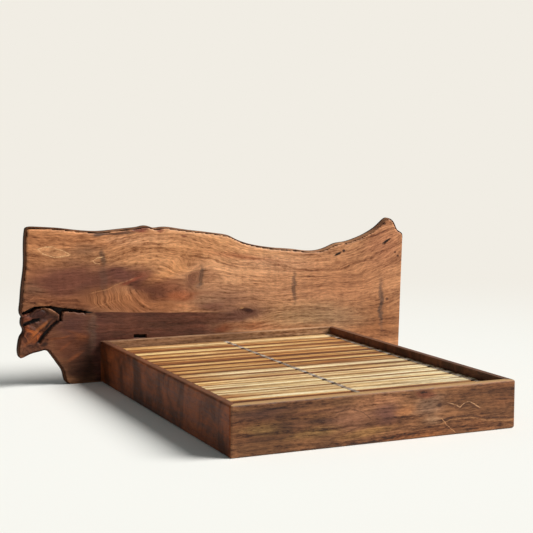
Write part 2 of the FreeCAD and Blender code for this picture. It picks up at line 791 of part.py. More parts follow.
def screw_shape(length):
    """A pan-head wood screw whose tip tapers over one diameter."""
    head = prism(
        "sizes.screw_head_diameter", "-sizes.screw_head_height",
        "sizes.screw_head_height", SMALL_FLAT_COUNT,
    )
    straight = "%s - sizes.screw_diameter" % length
    shank = prism("sizes.screw_diameter", "0", straight, SMALL_FLAT_COUNT)
    tip_start = polygon("sizes.screw_diameter", straight, SMALL_FLAT_COUNT)
    tip = Part.makeLoft([tip_start, Part.Vertex(0, 0, value(length))], True, True)
    return head.fuse([shank, tip])


def ring_shape(diameter, thickness, flats):
    """A washer or a threaded insert, bored for the bolt."""
    return prism(diameter, "0", thickness, flats).cut(
        prism(BOLT_BORE, "0", thickness, SMALL_FLAT_COUNT)
    )


def washer_shape():
    return ring_shape("sizes.washer_diameter", "sizes.washer_thickness", LARGE_FLAT_COUNT)


def side_signs():
    return [(x, y) for x in (-1, 1) for y in (-1, 1)]


def platform_point(x_from_middle, y_from_middle, z):
    """A point measured from the middle of the platform, on the floor."""
    middle = (value(FOOT_Y) + value(HEAD_Y)) / 2
    return Vector(value("sizes.platform_offset") + x_from_middle, middle + y_from_middle, z)


def make_corner_fasteners():
    block = value("sizes.block_size")
    washer = value("sizes.washer_thickness")
    inner_x = value(INNER_WIDTH) / 2
    inner_y = value(INNER_LENGTH) / 2
    bolt = bolt_shape("sizes.washer_thickness + sizes.block_size + sizes.rail_bite")
    screw = screw_shape("(sizes.block_size + sizes.screw_bite)")
    bolts = []
    washers = []
    screws = []
    for side_x, side_y in side_signs():
        for height in block_heights(BOLT_HEIGHT_SHARES):
            y = side_y * (inner_y - block / 2)
            outward = Vector(side_x, 0, 0)
            head = platform_point(side_x * (inner_x - block - washer), y, value(height))
            bolts.append(driven(bolt, head, outward))
            washers.append(driven(washer_shape(), head, outward))
        for height in block_heights(SCREW_HEIGHT_SHARES):
            x = side_x * (inner_x - block / 2)
            head = platform_point(x, side_y * (inner_y - block), value(height))
            screws.append(driven(screw, head, Vector(0, side_y, 0)))
    return [
        group("corner_bolts", bolts),
        group("corner_washers", washers),
        group("corner_screws", screws),
    ]


def make_ledger_screws():
    ledger = value("sizes.ledger_width")
    inner_x = value(INNER_WIDTH) / 2
    inner_y = value(INNER_LENGTH) / 2
    screw = screw_shape("(sizes.ledger_width + sizes.screw_bite)")
    screws = []
    for side in (-1, 1):
        for along in ledger_screw_places():
            head = platform_point(
                side * (inner_x - ledger), value(along) - inner_y, value(LEDGER_MIDDLE),
            )
            screws.append(driven(screw, head, Vector(side, 0, 0)))
    return group("ledger_screws", screws)


def make_hanger_screws():
    plate = value("sizes.hanger_plate")
    inner_y = value(INNER_LENGTH) / 2
    screw = screw_shape("(sizes.hanger_plate + sizes.screw_bite)")
    screws = []
    for side_x, side_y in side_signs():
        for share in HANGER_HOLE_SHARES:
            height = value("%s + %s * sizes.hanger_height" % (HANGER_BOTTOM, share))
            head = platform_point(
                side_x * value(HANGER_HOLE_X), side_y * (inner_y - plate), height,
            )
            screws.append(driven(screw, head, Vector(0, side_y, 0)))
    return group("hanger_screws", screws)


def make_headboard_fasteners():
    washer = value("sizes.washer_thickness")
    rail = value("sizes.rail_thickness")
    front = value(HEAD_Y)
    bolt = bolt_shape("sizes.washer_thickness + sizes.rail_thickness + sizes.slab_bite")
    insert = ring_shape("sizes.insert_diameter", "sizes.insert_length", LARGE_FLAT_COUNT)
    bolts = []
    washers = []
    inserts = []
    for x, z in headboard_bolt_centres():
        seat = Vector(value("sizes.platform_offset + " + x), front, value(z))
        head = seat - Vector(0, rail + washer, 0)
        bolts.append(driven(bolt, head, TO_HEAD))
        washers.append(driven(washer_shape(), head, TO_HEAD))
        inserts.append(driven(insert, seat, TO_HEAD))
    return [
        group("headboard_bolts", bolts),
        group("headboard_washers", washers),
        group("headboard_inserts", inserts),
    ]


def make_leg_hardware():
    bite = value("sizes.leg_bolt_bite")
    seam = value(BEAM_BOTTOM)
    stud = prism("sizes.bolt_diameter", "0", "2 * sizes.leg_bolt_bite", SMALL_FLAT_COUNT)
    glide = Part.makeCylinder(
        value("sizes.glide_diameter") / 2, value("sizes.glide_thickness"),
    )
    studs = []
    glides = []
    for along in leg_places():
        y = value("%s + %s" % (BEAM_START, along))
        x = value("sizes.platform_offset")
        studs.append(driven(stud, Vector(x, y, seam - bite), UP))
        glides.append(driven(glide, Vector(x, y, 0), UP))
    return [group("leg_bolts", studs), group("leg_glides", glides)]


# Assembly
MIDDLE_X = "sizes.platform_offset"
MIDDLE_Y = "(%s + sizes.platform_length / 2)" % FOOT_Y

pieces = [make_headboard_slab(), make_foot_rail(), make_head_rail()]
left_rail = make_left_side_rail()
pieces += [left_rail, mirrored(left_rail, "right_side_rail", TO_RIGHT, MIDDLE_X, "0")]
left_ledger = make_left_ledger()
pieces += [left_ledger, mirrored(left_ledger, "right_ledger", TO_RIGHT, MIDDLE_X, "0")]
front_left = make_front_left_block()
rear_left = mirrored(front_left, "rear_left_corner_block", TO_HEAD, "0", MIDDLE_Y)
pieces += [front_left, rear_left]
pieces.append(mirrored(front_left, "front_right_corner_block", TO_RIGHT, MIDDLE_X, "0"))
pieces.append(mirrored(rear_left, "rear_right_corner_block", TO_RIGHT, MIDDLE_X, "0"))
pieces.append(make_centre_beam())
pieces.append(make_beam_hanger("front_beam_hanger", INNER_FOOT_Y, 0))
pieces.append(make_beam_hanger("rear_beam_hanger", INNER_HEAD_Y, 180))
for index, along in enumerate(leg_places(), 1):
    pieces.append(make_centre_leg("centre_leg_%d" % index, along))
for index in range(slat_count()):
    pieces.append(make_slat(index))
for label, middle in WEBBINGS.items():
    pieces.append(make_webbing(label, middle))
pieces.append(make_staples())
pieces += make_corner_fasteners()
pieces += [make_ledger_screws(), make_hanger_screws()]
pieces += make_headboard_fasteners()
pieces += make_leg_hardware()
doc.recompute()

# Every feature must have worked, and every cut must have taken something away
for feature in doc.Objects:
    if "Invalid" in feature.State or "Error" in feature.State:
        raise RuntimeError("%s did not build" % feature.Name)
    if feature.TypeId == "PartDesign::SubtractivePrism":
        if feature.Shape.Volume >= feature.BaseFeature.Shape.Volume:
            raise RuntimeError("%s cut nothing" % feature.Name)
for piece in pieces:
    if piece.Shape.isNull() or not piece.Shape.isValid():
        raise RuntimeError("%s is not a sound solid" % piece.Label)

os.makedirs("parts", exist_ok=True)
for piece in pieces:
    piece.Shape.exportStep("parts/%s.step" % piece.Label)
print("%d pieces written" % len(pieces))
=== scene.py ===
import math

import bmesh
import bpy
from mathutils import Matrix, Vector, kdtree, noise
from mathutils.bvhtree import BVHTree


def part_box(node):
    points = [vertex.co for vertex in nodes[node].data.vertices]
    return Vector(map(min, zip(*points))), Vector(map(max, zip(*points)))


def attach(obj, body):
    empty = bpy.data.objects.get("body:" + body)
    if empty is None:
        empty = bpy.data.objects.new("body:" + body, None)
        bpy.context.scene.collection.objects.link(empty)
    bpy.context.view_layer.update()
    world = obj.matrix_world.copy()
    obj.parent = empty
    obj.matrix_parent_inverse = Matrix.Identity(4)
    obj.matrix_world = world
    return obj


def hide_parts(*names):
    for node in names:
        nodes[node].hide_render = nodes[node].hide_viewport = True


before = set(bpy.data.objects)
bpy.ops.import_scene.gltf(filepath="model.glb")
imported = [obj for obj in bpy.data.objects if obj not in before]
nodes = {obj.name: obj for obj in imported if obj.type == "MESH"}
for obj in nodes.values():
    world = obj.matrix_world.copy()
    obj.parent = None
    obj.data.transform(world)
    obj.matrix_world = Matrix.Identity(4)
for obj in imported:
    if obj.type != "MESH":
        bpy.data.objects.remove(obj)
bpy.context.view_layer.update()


# Platform boards
# Four boards of reclaimed hardwood on edge, mitred at the corners, rounded outside and
# oiled. The foot board has wild figure and knots; the sides are darker and cross-figured.
def paint(code):
    """A colour as written on a paint card, ready for a shader."""
    channels = []
    for index in (0, 2, 4):
        level = int(code[index:index + 2], 16) / 255
        channels.append(level / 12.92 if level <= 0.04045 else ((level + 0.055) / 1.055) ** 2.4)
    return (*channels, 1.0)


def put(tree, kind, *inputs, **settings):
    """Add a node: an input that is a socket is linked, any other is its value."""
    node = tree.nodes.new("ShaderNode" + kind)
    for name, setting in settings.items():
        setattr(node, name, setting)
    for index, given in enumerate(inputs):
        if isinstance(given, bpy.types.NodeSocket):
            tree.links.new(given, node.inputs[index])
        elif given is not None:
            node.inputs[index].default_value = given
    return node


def calc(tree, operation, *inputs):
    return put(tree, "Math", *inputs, operation=operation).outputs[0]


def plus(tree, *inputs):
    return calc(tree, "ADD", *inputs)


def minus(tree, *inputs):
    return calc(tree, "SUBTRACT", *inputs)


def times(tree, *inputs):
    return calc(tree, "MULTIPLY", *inputs)


def scaled(tree, value, factor, shift):
    """A value times a factor, then shifted."""
    return calc(tree, "MULTIPLY_ADD", value, factor, shift)


def axes(tree, vector):
    return put(tree, "SeparateXYZ", vector).outputs


def vector_calc(tree, operation, *inputs):
    return put(tree, "VectorMath", *inputs, operation=operation).outputs[0]


def span(tree, value, low, high, to_low=0.0, to_high=1.0):
    """A soft step from low to high."""
    node = put(
        tree, "MapRange", value, low, high, to_low, to_high, interpolation_type="SMOOTHSTEP",
    )
    return node.outputs[0]


def stretched(tree, vector, scale):
    return put(tree, "Mapping", vector, None, None, scale).outputs[0]


def speckle(tree, vector, scale, detail=3.0, rough=0.55, warp=0.0):
    """Soft noise at one scale, or with a scale for each axis."""
    if isinstance(scale, tuple):
        vector, scale = stretched(tree, vector, scale), 1.0
    node = put(tree, "TexNoise", vector, None, scale, detail, rough, None, None, None, warp)
    return node.outputs["Fac"]


def swirled(tree, vector, scale, detail, amounts):
    """A push in every direction that changes slowly from place to place."""
    push = put(tree, "TexNoise", stretched(tree, vector, scale), None, 1.0, detail)
    push = vector_calc(tree, "SUBTRACT", push.outputs["Color"], (0.5, 0.5, 0.5))
    return vector_calc(tree, "MULTIPLY", push, amounts)


def dye(tree, mask, under, over, mode="MIX"):
    """Lay one colour over another through a mask."""
    node = tree.nodes.new("ShaderNodeMix")
    node.data_type = "RGBA"
    node.blend_type = mode
    for name, given in (("Factor_Float", mask), ("A_Color", under), ("B_Color", over)):
        socket = next(item for item in node.inputs if item.identifier == name)
        if isinstance(given, bpy.types.NodeSocket):
            tree.links.new(given, socket)
        else:
            socket.default_value = given
    return next(item for item in node.outputs if item.identifier == "Result_Color")


def shaded(tree, colour, shade):
    """Darken or lighten a colour by a factor."""
    grey = put(tree, "CombineColor", shade, shade, shade).outputs[0]
    return dye(tree, 1.0, colour, grey, "MULTIPLY")


def graded(tree, value, stops):
    """Colours spread along a value, given as (place, colour code)."""
    ramp = put(tree, "ValToRGB", value)
    elements = ramp.color_ramp.elements
    while len(elements) < len(stops):
        elements.new(1.0)
    for element, (place, code) in zip(elements, stops):
        element.position = place
        element.color = paint(code)
    return ramp.outputs[0]


def curved(tree, share, points, handles="AUTO"):
    """A value read off a curve through the given points, as shares."""
    node = put(tree, "FloatCurve", 1.0, share)
    curve = node.mapping.curves[0]
    curve.points[0].location = points[0]
    curve.points[-1].location = points[-1]
    for point in points[1:-1]:
        curve.points.new(*point)
    for point in curve.points:
        point.handle_type = handles
    node.mapping.update()
    return node.outputs[0]


def new_group(name, inputs, outputs):
    """An empty node group, its input node's sockets and its output node's."""
    group = bpy.data.node_groups.new(name, "ShaderNodeTree")
    for label, kind in inputs:
        group.interface.new_socket(label, in_out="INPUT", socket_type="NodeSocket" + kind)
    for label, kind in outputs:
        group.interface.new_socket(label, in_out="OUTPUT", socket_type="NodeSocket" + kind)
    entry = group.nodes.new("NodeGroupInput")
    ending = group.nodes.new("NodeGroupOutput")
    return group, entry.outputs, ending.inputs


def use_group(tree, group, *inputs):
    node = tree.nodes.new("ShaderNodeGroup")
    node.node_tree = group
    for socket, given in zip(node.inputs, inputs):
        if isinstance(given, bpy.types.NodeSocket):
            tree.links.new(given, socket)
        else:
            socket.default_value = given
    return node.outputs


def new_material(name, roughness, **principled):
    """A material with a Principled shader, its tree and the place on the object."""
    material = bpy.data.materials.new(name)
    material.use_nodes = True
    tree = material.node_tree
    shader = tree.nodes["Principled BSDF"]
    shader.inputs["Roughness"].default_value = roughness
    for label, setting in principled.items():
        shader.inputs[label.replace("_", " ")].default_value = setting
    place = tree.nodes.new("ShaderNodeTexCoord").outputs["Object"]
    return material, tree, shader, place


def roughen(tree, shader, height, distance):
    """Drive the shader's normal from a height."""
    bump = tree.nodes.new("ShaderNodeBump")
    bump.inputs["Distance"].default_value = distance
    tree.links.new(height, bump.inputs["Height"])
    tree.links.new(bump.outputs["Normal"], shader.inputs["Normal"])


def coat(tree, shader, colour, wood, roughness, grain_depth=0.0006):
    """Drive the shader from a colour and from the gloss and height of figured wood."""
    tree.links.new(colour, shader.inputs["Base Color"])
    tree.links.new(plus(tree, wood["Gloss"], roughness), shader.inputs["Roughness"])
    roughen(tree, shader, wood["Height"], grain_depth)


def dress(names, material):
    """Give CAD nodes a material."""
    for name in names:
        nodes[name].data.materials.clear()
        nodes[name].data.materials.append(material)


def make_figure_group():
    """Figure of wood whose grain runs along X: its tone, dark lines and short pores."""
    group, entry, ending = new_group(
        "wood_figure", [("Lie", "Vector")], [("Figure", "Vector")],
    )
    lie = entry["Lie"]
    bands = speckle(group, lie, (0.9, 9, 24), 3.0, 0.55, 0.3)
    fibre = speckle(group, lie, (4.5, 34, 80), 5.0, 0.7)
    flecks = speckle(group, lie, (26, 80, 95), 3.0, 0.7)
    tone = scaled(group, bands, 1.7, -2.35)
    tone = scaled(group, fibre, 2.2, tone)
    tone = scaled(group, flecks, 1.8, tone)
    lines = speckle(group, lie, (2.2, 22, 50), 2.0, 0.5, 0.3)
    pores = speckle(group, lie, (26, 140, 120), 2.0, 0.55)
    figure = put(
        group, "CombineXYZ", tone, span(group, lines, 0.55, 0.68), span(group, pores, 0.55, 0.68),
    )
    group.links.new(figure.outputs[0], ending["Figure"])
    return group


def make_stain_group():
    """A stain lightened and darkened by the figure; where wood is darker it is redder."""
    group, entry, ending = new_group(
        "figured_stain",
        [("Stain", "Color"), ("Figure", "Vector"), ("Contrast", "Float"), ("Lines", "Float"),
         ("Pores", "Float")],
        [("Colour", "Color"), ("Height", "Float"), ("Gloss", "Float")],
    )
    figure = axes(group, entry["Figure"])
    swing = minus(group, figure[0], 0.5)
    swing = times(group, swing, entry["Contrast"])
    swing = minus(group, swing, times(group, figure[1], entry["Lines"]))
    swing = minus(group, swing, times(group, figure[2], entry["Pores"]))
    shades = []
    for reach in (1.0, 1.15, 1.25):
        shade = scaled(group, swing, reach, 1.0)
        shades.append(calc(group, "MAXIMUM", shade, 0.15))
    shade = put(group, "CombineColor", *shades).outputs[0]
    group.links.new(dye(group, 1.0, entry["Stain"], shade, "MULTIPLY"), ending["Colour"])
    height = scaled(group, figure[2], -0.6, figure[0])
    group.links.new(height, ending["Height"])
    group.links.new(span(group, figure[0], 0.1, 0.9, -0.06, 0.08), ending["Gloss"])
    return group


def make_patch_group():
    """A soft-edged ellipse on a board's face, from its middle, half sizes and turn."""
    group, entry, ending = new_group(
        "patch",
        [("Place", "Vector"), ("Middle", "Vector"), ("Half_size", "Vector"), ("Turn", "Float"),
         ("Softness", "Float")],
        [("Mask", "Float"), ("Distance", "Float"), ("Around", "Vector")],
    )
    away = vector_calc(group, "SUBTRACT", entry["Place"], entry["Middle"])
    turned = put(group, "VectorRotate", away, rotation_type="Y_AXIS")
    group.links.new(entry["Turn"], turned.inputs["Angle"])
    shrunk = vector_calc(group, "DIVIDE", turned.outputs[0], entry["Half_size"])
    flat = vector_calc(group, "MULTIPLY", shrunk, (1, 0, 1))
    distance = put(group, "VectorMath", flat, operation="LENGTH").outputs["Value"]
    inner = minus(group, 1.0, entry["Softness"])
    outer = plus(group, 1.0, entry["Softness"])
    group.links.new(span(group, distance, inner, outer, 1.0, 0.0), ending["Mask"])
    group.links.new(distance, ending["Distance"])
    group.links.new(vector_calc(group, "NORMALIZE", flat), ending["Around"])
    return group


def make_eye_group():
    """Grain that runs round a knot or eye: its lie, where it shows and how calm it is."""
    group, entry, ending = new_group(
        "grain_eye",
        [("Distance", "Float"), ("Around", "Vector"), ("Half_size", "Vector"),
         ("Share", "Float"), ("Lie", "Vector"), ("Calm", "Float")],
        [("Lie", "Vector"), ("Calm", "Float")],
    )
    size = axes(group, entry["Half_size"])
    around = axes(group, entry["Around"])
    along = times(group, around["X"], size["X"])
    beside = times(group, around["Z"], times(group, size["X"], 0.1))
    out = times(group, entry["Distance"], size["Z"])
    round_lie = put(group, "CombineXYZ", along, beside, out).outputs[0]
    inside = calc(group, "LESS_THAN", entry["Share"], 1.0)
    change = vector_calc(group, "SUBTRACT", round_lie, entry["Lie"])
    lie = put(group, "VectorMath", change, inside, entry["Lie"], operation="MULTIPLY_ADD")
    group.links.new(lie.outputs[0], ending["Lie"])
    seam = calc(group, "ABSOLUTE", minus(group, entry["Share"], 1.0))
    calm = calc(group, "MINIMUM", span(group, seam, 0.0, 0.18), entry["Calm"])
    group.links.new(calm, ending["Calm"])
    return group


figure_group = make_figure_group()
stain_group = make_stain_group()
patch_group = make_patch_group()
eye_group = make_eye_group()
THROUGH = 10.0


def ellipse(tree, place, x, z, half_x, half_z, turn=0, softness=0.5):
    """An ellipse on a board's face that goes through the whole board."""
    size = (half_x, THROUGH, half_z)
    return use_group(tree, patch_group, place, (x, 0, z), size, math.radians(turn), softness)


def add_patch(tree, colour, place, x, z, half_x, half_z, code, strength, turn=0, softness=0.8):
    """Stain a colour with one soft ellipse."""
    mask = ellipse(tree, place, x, z, half_x, half_z, turn, softness)["Mask"]
    return dye(tree, times(tree, mask, strength), colour, paint(code))


def add_patches(tree, colour, place, patches):
    for patch in patches:
        colour = add_patch(tree, colour, place, *patch)
    return colour


def add_eyes(tree, place, lie, calm, eyes):
    """Bend the grain round eyes, each given as an ellipse and the ellipse where it shows."""
    for whole, part in eyes:
        eye = ellipse(tree, place, *whole)
        shown = ellipse(tree, place, *part)["Distance"]
        size = (whole[2], THROUGH, whole[3])
        bent = use_group(tree, eye_group, eye["Distance"], eye["Around"], size, shown, lie, calm)
        lie, calm = bent["Lie"], bent["Calm"]
    return lie, calm


def add_moods(tree, shown, place, moods):
    """Calm or liven the figure in places, each an ellipse and the change of contrast."""
    for *shape, change in moods:
        mask = ellipse(tree, place, *shape, 0.6)["Mask"]
        shown = times(tree, shown, scaled(tree, mask, change, 1.0))
    return shown


RAIL_TOP = 0.260
LIT_TOP_DEPTH = 0.006


def add_lines(tree, colour, place, lines):
    """Draw thin lines: points (x, z) from left to right, half width, colour and strength."""
    parts = axes(tree, place)
    broken = span(tree, speckle(tree, place, 60.0), 0.38, 0.56, 0.25, 1.0)
    for points, half_width, code, strength in lines:
        first, final = points[0][0], points[-1][0]
        low = min(z for x, z in points)
        rise = max(z for x, z in points) - low
        along = put(tree, "MapRange", parts["X"], first, final, 0.0, 1.0).outputs[0]
        shares = [((x - first) / (final - first), (z - low) / rise) for x, z in points]
        route = curved(tree, along, shares, "VECTOR")
        height = scaled(tree, route, rise, low)
        away = calc(tree, "ABSOLUTE", minus(tree, parts["Z"], height))
        mask = span(tree, away, half_width * 0.4, half_width * 1.6, strength, 0.0)
        mask = times(tree, mask, broken)
        for end, way in ((first, 1), (final, -1)):
            fade = span(tree, parts["X"], end - 0.01 * way, end + 0.01 * way)
            mask = times(tree, mask, fade)
        colour = dye(tree, mask, colour, paint(code))
    return colour


def board_wood(name, code, along="X", shift=(0, 0, 0), wander=0.03, contrast=1.0, lines=0.3,
               pores=0.25, roughness=0.5, patches=(), eyes=(), moods=(), drawn=(),
               cross=0.0, shine=0.3, top=None):
    """Oiled hardwood: a stain, patches, the figure along the board and a top face painted lighter,
    as painted light from above.
    """
    material, tree, shader, place = new_material(name, roughness, Specular_IOR_Level=shine)
    quarter = {"X": 0, "Y": math.pi / 2}[along]
    lying = put(tree, "Mapping", place, shift, (0, 0, -quarter), (1, 1, 1)).outputs[0]
    push = swirled(tree, lying, (1.6, 5, 6), 3.0, (0, wander, wander))
    lie, calm = add_eyes(tree, place, vector_calc(tree, "ADD", lying, push), 1.0, eyes)
    figure = use_group(tree, figure_group, lie)["Figure"]
    push = swirled(tree, lying, (4, 14, 18), 3.0, (0.12, 0, 0.03))
    stained = vector_calc(tree, "ADD", place, push)
    colour = add_patches(tree, paint(code), stained, patches)
    if cross:
        blotch = speckle(tree, lying, (6, 3, 4.5), 4.0, 0.65, 0.6)
        colour = shaded(tree, colour, span(tree, blotch, 0.32, 0.68, 1.0 - cross, 1.0 + cross))
    show = add_moods(tree, times(tree, calm, contrast), stained, moods)
    wood = use_group(tree, stain_group, colour, figure, show, lines, pores)
    push = swirled(tree, lying, (12, 30, 40), 2.0, (0.02, 0, 0.012))
    wavy = vector_calc(tree, "ADD", place, push)
    colour = add_lines(tree, wood["Colour"], wavy, drawn)
    # painted light: the top face gets a lighter tone of its own, as the light from above shows it
    if top:
        code, strength = top
        mask = span(tree, axes(tree, place)["Z"], RAIL_TOP - LIT_TOP_DEPTH, RAIL_TOP, 0.0, strength)
        colour = dye(tree, mask, colour, paint(code))
    coat(tree, shader, colour, wood, roughness)
    return material


# Patches are x, z, half width, half height, colour, strength, then turn and softness
FOOT_PATCHES = [
    # the darker left end, dark streaks, and the stains round the loop right of the middle
    (-0.6, 0.13, 0.34, 0.15, "653e21", 0.85, 0, 0.9),
    (-0.6, 0.219, 0.22, 0.014, "482919", 0.7, 1),
    (-0.71, 0.2, 0.15, 0.026, "40241a", 0.8, 2),
    (-0.42, 0.19, 0.26, 0.01, "522e1b", 0.8, 2, 0.9),
    (-0.335, 0.141, 0.09, 0.012, "3f241a", 0.85, -2, 0.9),
    (-0.66, 0.085, 0.16, 0.012, "512e1a", 0.7, 3, 0.9),
    (-0.8, 0.137, 0.1, 0.05, "915731", 0.5, 0, 0.9),
    (-0.165, 0.132, 0.115, 0.048, "a87052", 0.6, -4, 0.9),
    (-0.68, 0.13, 0.1, 0.022, "94703e", 0.5, -3, 0.9),
    (-0.5, 0.135, 0.09, 0.022, "4a2b1c", 0.6),
    (0.01, 0.09, 0.13, 0.034, "633a20", 0.85),
    (-0.38, 0.085, 0.12, 0.02, "94703e", 0.5, 3, 0.9),
    (-0.098, 0.058, 0.13, 0.018, "946b37", 0.5, 4),
    (-0.02, 0.215, 0.13, 0.026, "ab724c", 0.7),
    (0.016, 0.148, 0.065, 0.052, "5e382f", 0.8),
    (0.126, 0.15, 0.05, 0.02, "a8683c", 0.4),
    (0.285, 0.166, 0.08, 0.045, "957158", 0.7),
    (0.305, 0.085, 0.05, 0.018, "b68a66", 0.75),
    (0.346, 0.163, 0.018, 0.01, "472c24", 0.9, 0, 0.6),
    (0.243, 0.225, 0.04, 0.02, "914e34", 0.85, 0, 0.7),
    (0.23, 0.02, 0.18, 0.02, "9e5b2a", 0.5, 2),
    (0.708, 0.185, 0.11, 0.065, "7b4227", 0.85),
    (0.56, 0.205, 0.14, 0.026, "764727", 0.8),
    (0.55, 0.045, 0.24, 0.035, "87512e", 0.7, 0, 0.9),
    (0.64, 0.205, 0.26, 0.05, "5c361d", 0.9, 0, 0.9),
    (0.62, 0.11, 0.26, 0.08, "6f4528", 0.8, 0, 0.9),
    (0.53, 0.148, 0.12, 0.038, "50301a", 0.7),
]
FOOT_EYES = [
    # the flat eye at the left and the knot under the top edge
    ((-0.335, 0.141, 0.05, 0.012, -2), (-0.335, 0.141, 0.075, 0.02, -2)),
    ((0.243, 0.232, 0.03, 0.008, 0), (0.243, 0.232, 0.055, 0.018, 0)),
]
FOOT_MOODS = [
    (-0.165, 0.135, 0.11, 0.044, -4, -0.4),
    (0.016, 0.148, 0.07, 0.05, 0, -0.3),
    (0.62, 0.14, 0.26, 0.11, 0, 0.25),
]
FOOT_LINES = [
    # the dark rim of the loop, the knot slot, and the zigzag of pale wood over its shade
    ([(-0.27, 0.175), (-0.19, 0.188), (-0.11, 0.165), (-0.056, 0.118)], 0.003, "4a2b1e", 0.65),
    ([(-0.26, 0.098), (-0.17, 0.084), (-0.1, 0.092), (-0.056, 0.112)], 0.0026, "54331f", 0.5),
    ([(0.223, 0.238), (0.243, 0.24), (0.263, 0.236)], 0.005, "170c08", 0.98),
    ([(0.385, 0.163), (0.423, 0.151), (0.461, 0.134), (0.488, 0.152), (0.514, 0.159),
      (0.553, 0.138), (0.585, 0.12)], 0.006, "5a3521", 0.8),
    ([(0.385, 0.173), (0.423, 0.161), (0.461, 0.144), (0.488, 0.162), (0.514, 0.169),
      (0.553, 0.148), (0.585, 0.13)], 0.0022, "e3ac7c", 0.8),
    ([(0.349, 0.078), (0.401, 0.093), (0.523, 0.095), (0.617, 0.073), (0.711, 0.062),
      (0.798, 0.06)], 0.0045, "4a2b1c", 0.85),
    ([(0.349, 0.064), (0.401, 0.08), (0.523, 0.083), (0.617, 0.061), (0.711, 0.05),
      (0.798, 0.048)], 0.003, "b98355", 0.6),
    ([(0.341, 0.098), (0.385, 0.055), (0.433, 0.011)], 0.0022, "d89b69", 0.75),
]

foot_wood = board_wood(
    "foot_wood", "845635", patches=FOOT_PATCHES, eyes=FOOT_EYES, moods=FOOT_MOODS,
    drawn=FOOT_LINES, wander=0.06, contrast=1.35, lines=0.24, pores=0.22, cross=0.22,
    top=("c39a68", 0.8),
)
side_wood = board_wood(
    "side_wood", "743c1f", along="Y", shift=(1.7, 0, 0), wander=0.06, contrast=0.6, cross=0.6,
    lines=0.12, shine=0.15, top=("6e4d3a", 0.7),
)
right_wood = board_wood(
    "right_side_wood", "6c412c", along="Y", shift=(5.1, 0, 0), wander=0.06, contrast=0.6,
    cross=0.6, lines=0.12, top=("6e4d3a", 0.7),
)
head_wood = board_wood(
    "head_rail_wood", "936c4d", shift=(4.3, 0, 0), contrast=1.0,
    patches=[(0.62, 0.2, 0.4, 0.2, "bd9068", 0.8), (0, 0.2, 0.15, 0.2, "7d583d", 0.7)],
)
dress(["foot_rail"], foot_wood)
dress(["left_side_rail"], side_wood)
dress(["right_side_rail"], right_wood)
dress(["head_rail"], head_wood)


# Corner blocks and ledgers
# Square blocks of plain hardwood glued up from offcuts stand in the corners, and a
# ledger on each side rail carries the slat ends. They are planed but not oiled.
hidden_wood = board_wood("support_wood", "a27a4e", along="Y", contrast=0.7, roughness=0.62)
post_wood = board_wood("post_wood", "9d744a", shift=(2.1, 0.4, 0), contrast=0.7, roughness=0.62)
dress(["left_ledger", "right_ledger", "centre_beam"], hidden_wood)
dress([name for name in nodes if "corner_block" in name or "centre_leg" in name], post_wood)


# Hangers, bolts and screws
# The beam hangers are pressed and painted steel. Bolts, washers and screws are zinc
# plated; the threaded inserts in the headboard are brass, and the glides are nylon.
def metal(name, code, roughness, speck):
    material, tree, shader, place = new_material(name, roughness, Metallic=1.0)
    cloud = speckle(tree, place, speck, 4.0)
    tone = graded(tree, cloud, [(0.3, code), (0.75, "c8c8c4")])
    tree.links.new(dye(tree, 0.35, paint(code), tone), shader.inputs["Base Color"])
    tree.links.new(
        span(tree, cloud, 0.3, 0.7, roughness - 0.08, roughness + 0.12),
        shader.inputs["Roughness"],
    )
    roughen(tree, shader, cloud, 0.0001)
    return material


def plain(name, roughness, grain, dark, light, bump=0.0):
    material, tree, shader, place = new_material(name, roughness)
    cloud = speckle(tree, place, grain)
    tree.links.new(graded(tree, cloud, [(0.3, dark), (0.8, light)]), shader.inputs["Base Color"])
    if bump:
        roughen(tree, shader, cloud, bump)
    return material


zinc = metal("zinc_plate", "b9b8b0", 0.34, 160)
brass = metal("brass", "c79a4a", 0.30, 120)
black_steel = plain("black_painted_steel", 0.48, 240, "1b1b1c", "2b2b2d", bump=0.0002)
nylon = plain("black_nylon", 0.55, 300, "222224", "2e2e30")
dress([name for name in nodes if name.endswith(("_bolts", "_washers", "_screws"))], zinc)
dress(["headboard_inserts"], brass)
dress(["front_beam_hanger", "rear_beam_hanger"], black_steel)
dress(["leg_glides"], nylon)


# Headboard plank
# One wide board of the same hardwood with its live edge left on: most bark is gone, the
# edge is rubbed smooth, and a burl with a deep fissure over it closes the left end.
plank_low, plank_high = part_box("headboard_slab")
ALONG = Vector((1, 0, 0))
UP = Vector((0, 0, 1))
PLANK_STEP = 0.009
WANE_STEPS = [(0.42, 0.000), (0.72, 0.003), (0.88, 0.005), (0.96, 0.007), (1.0, 0.009)]
BACK_TOLERANCE = 0.0005
BACK_NORMAL = 0.99
WELD = 1e-5
CUT_TOLERANCE = 1e-6
EDGE_PARTS = 8
WANE_LUMPS = 9
FOOT_CUT_REACH = 0.003
RIGHT_CUT_REACH = 0.045
RIGHT_CUT_TOP = 0.82
BURL_RIGHT = -0.98
BURL_TOP = 0.54
# low x, high x, low z, high z and row step: where the plank is cut into small faces
FINE_BOXES = [
    (plank_low.x, BURL_RIGHT, plank_low.z, BURL_TOP, 0.0045),
    (-0.64, -0.5, 0.24, 0.31, 0.003),
    (0.72, 0.81, 0.18, 0.23, 0.003),
    (0.812, 0.872, 0.73, 0.766, 0.002),
    (1.182, 1.264, 0.792, 0.852, 0.002),
]


def faces_of(items):
    return [item for item in items if isinstance(item, bmesh.types.BMFace)]


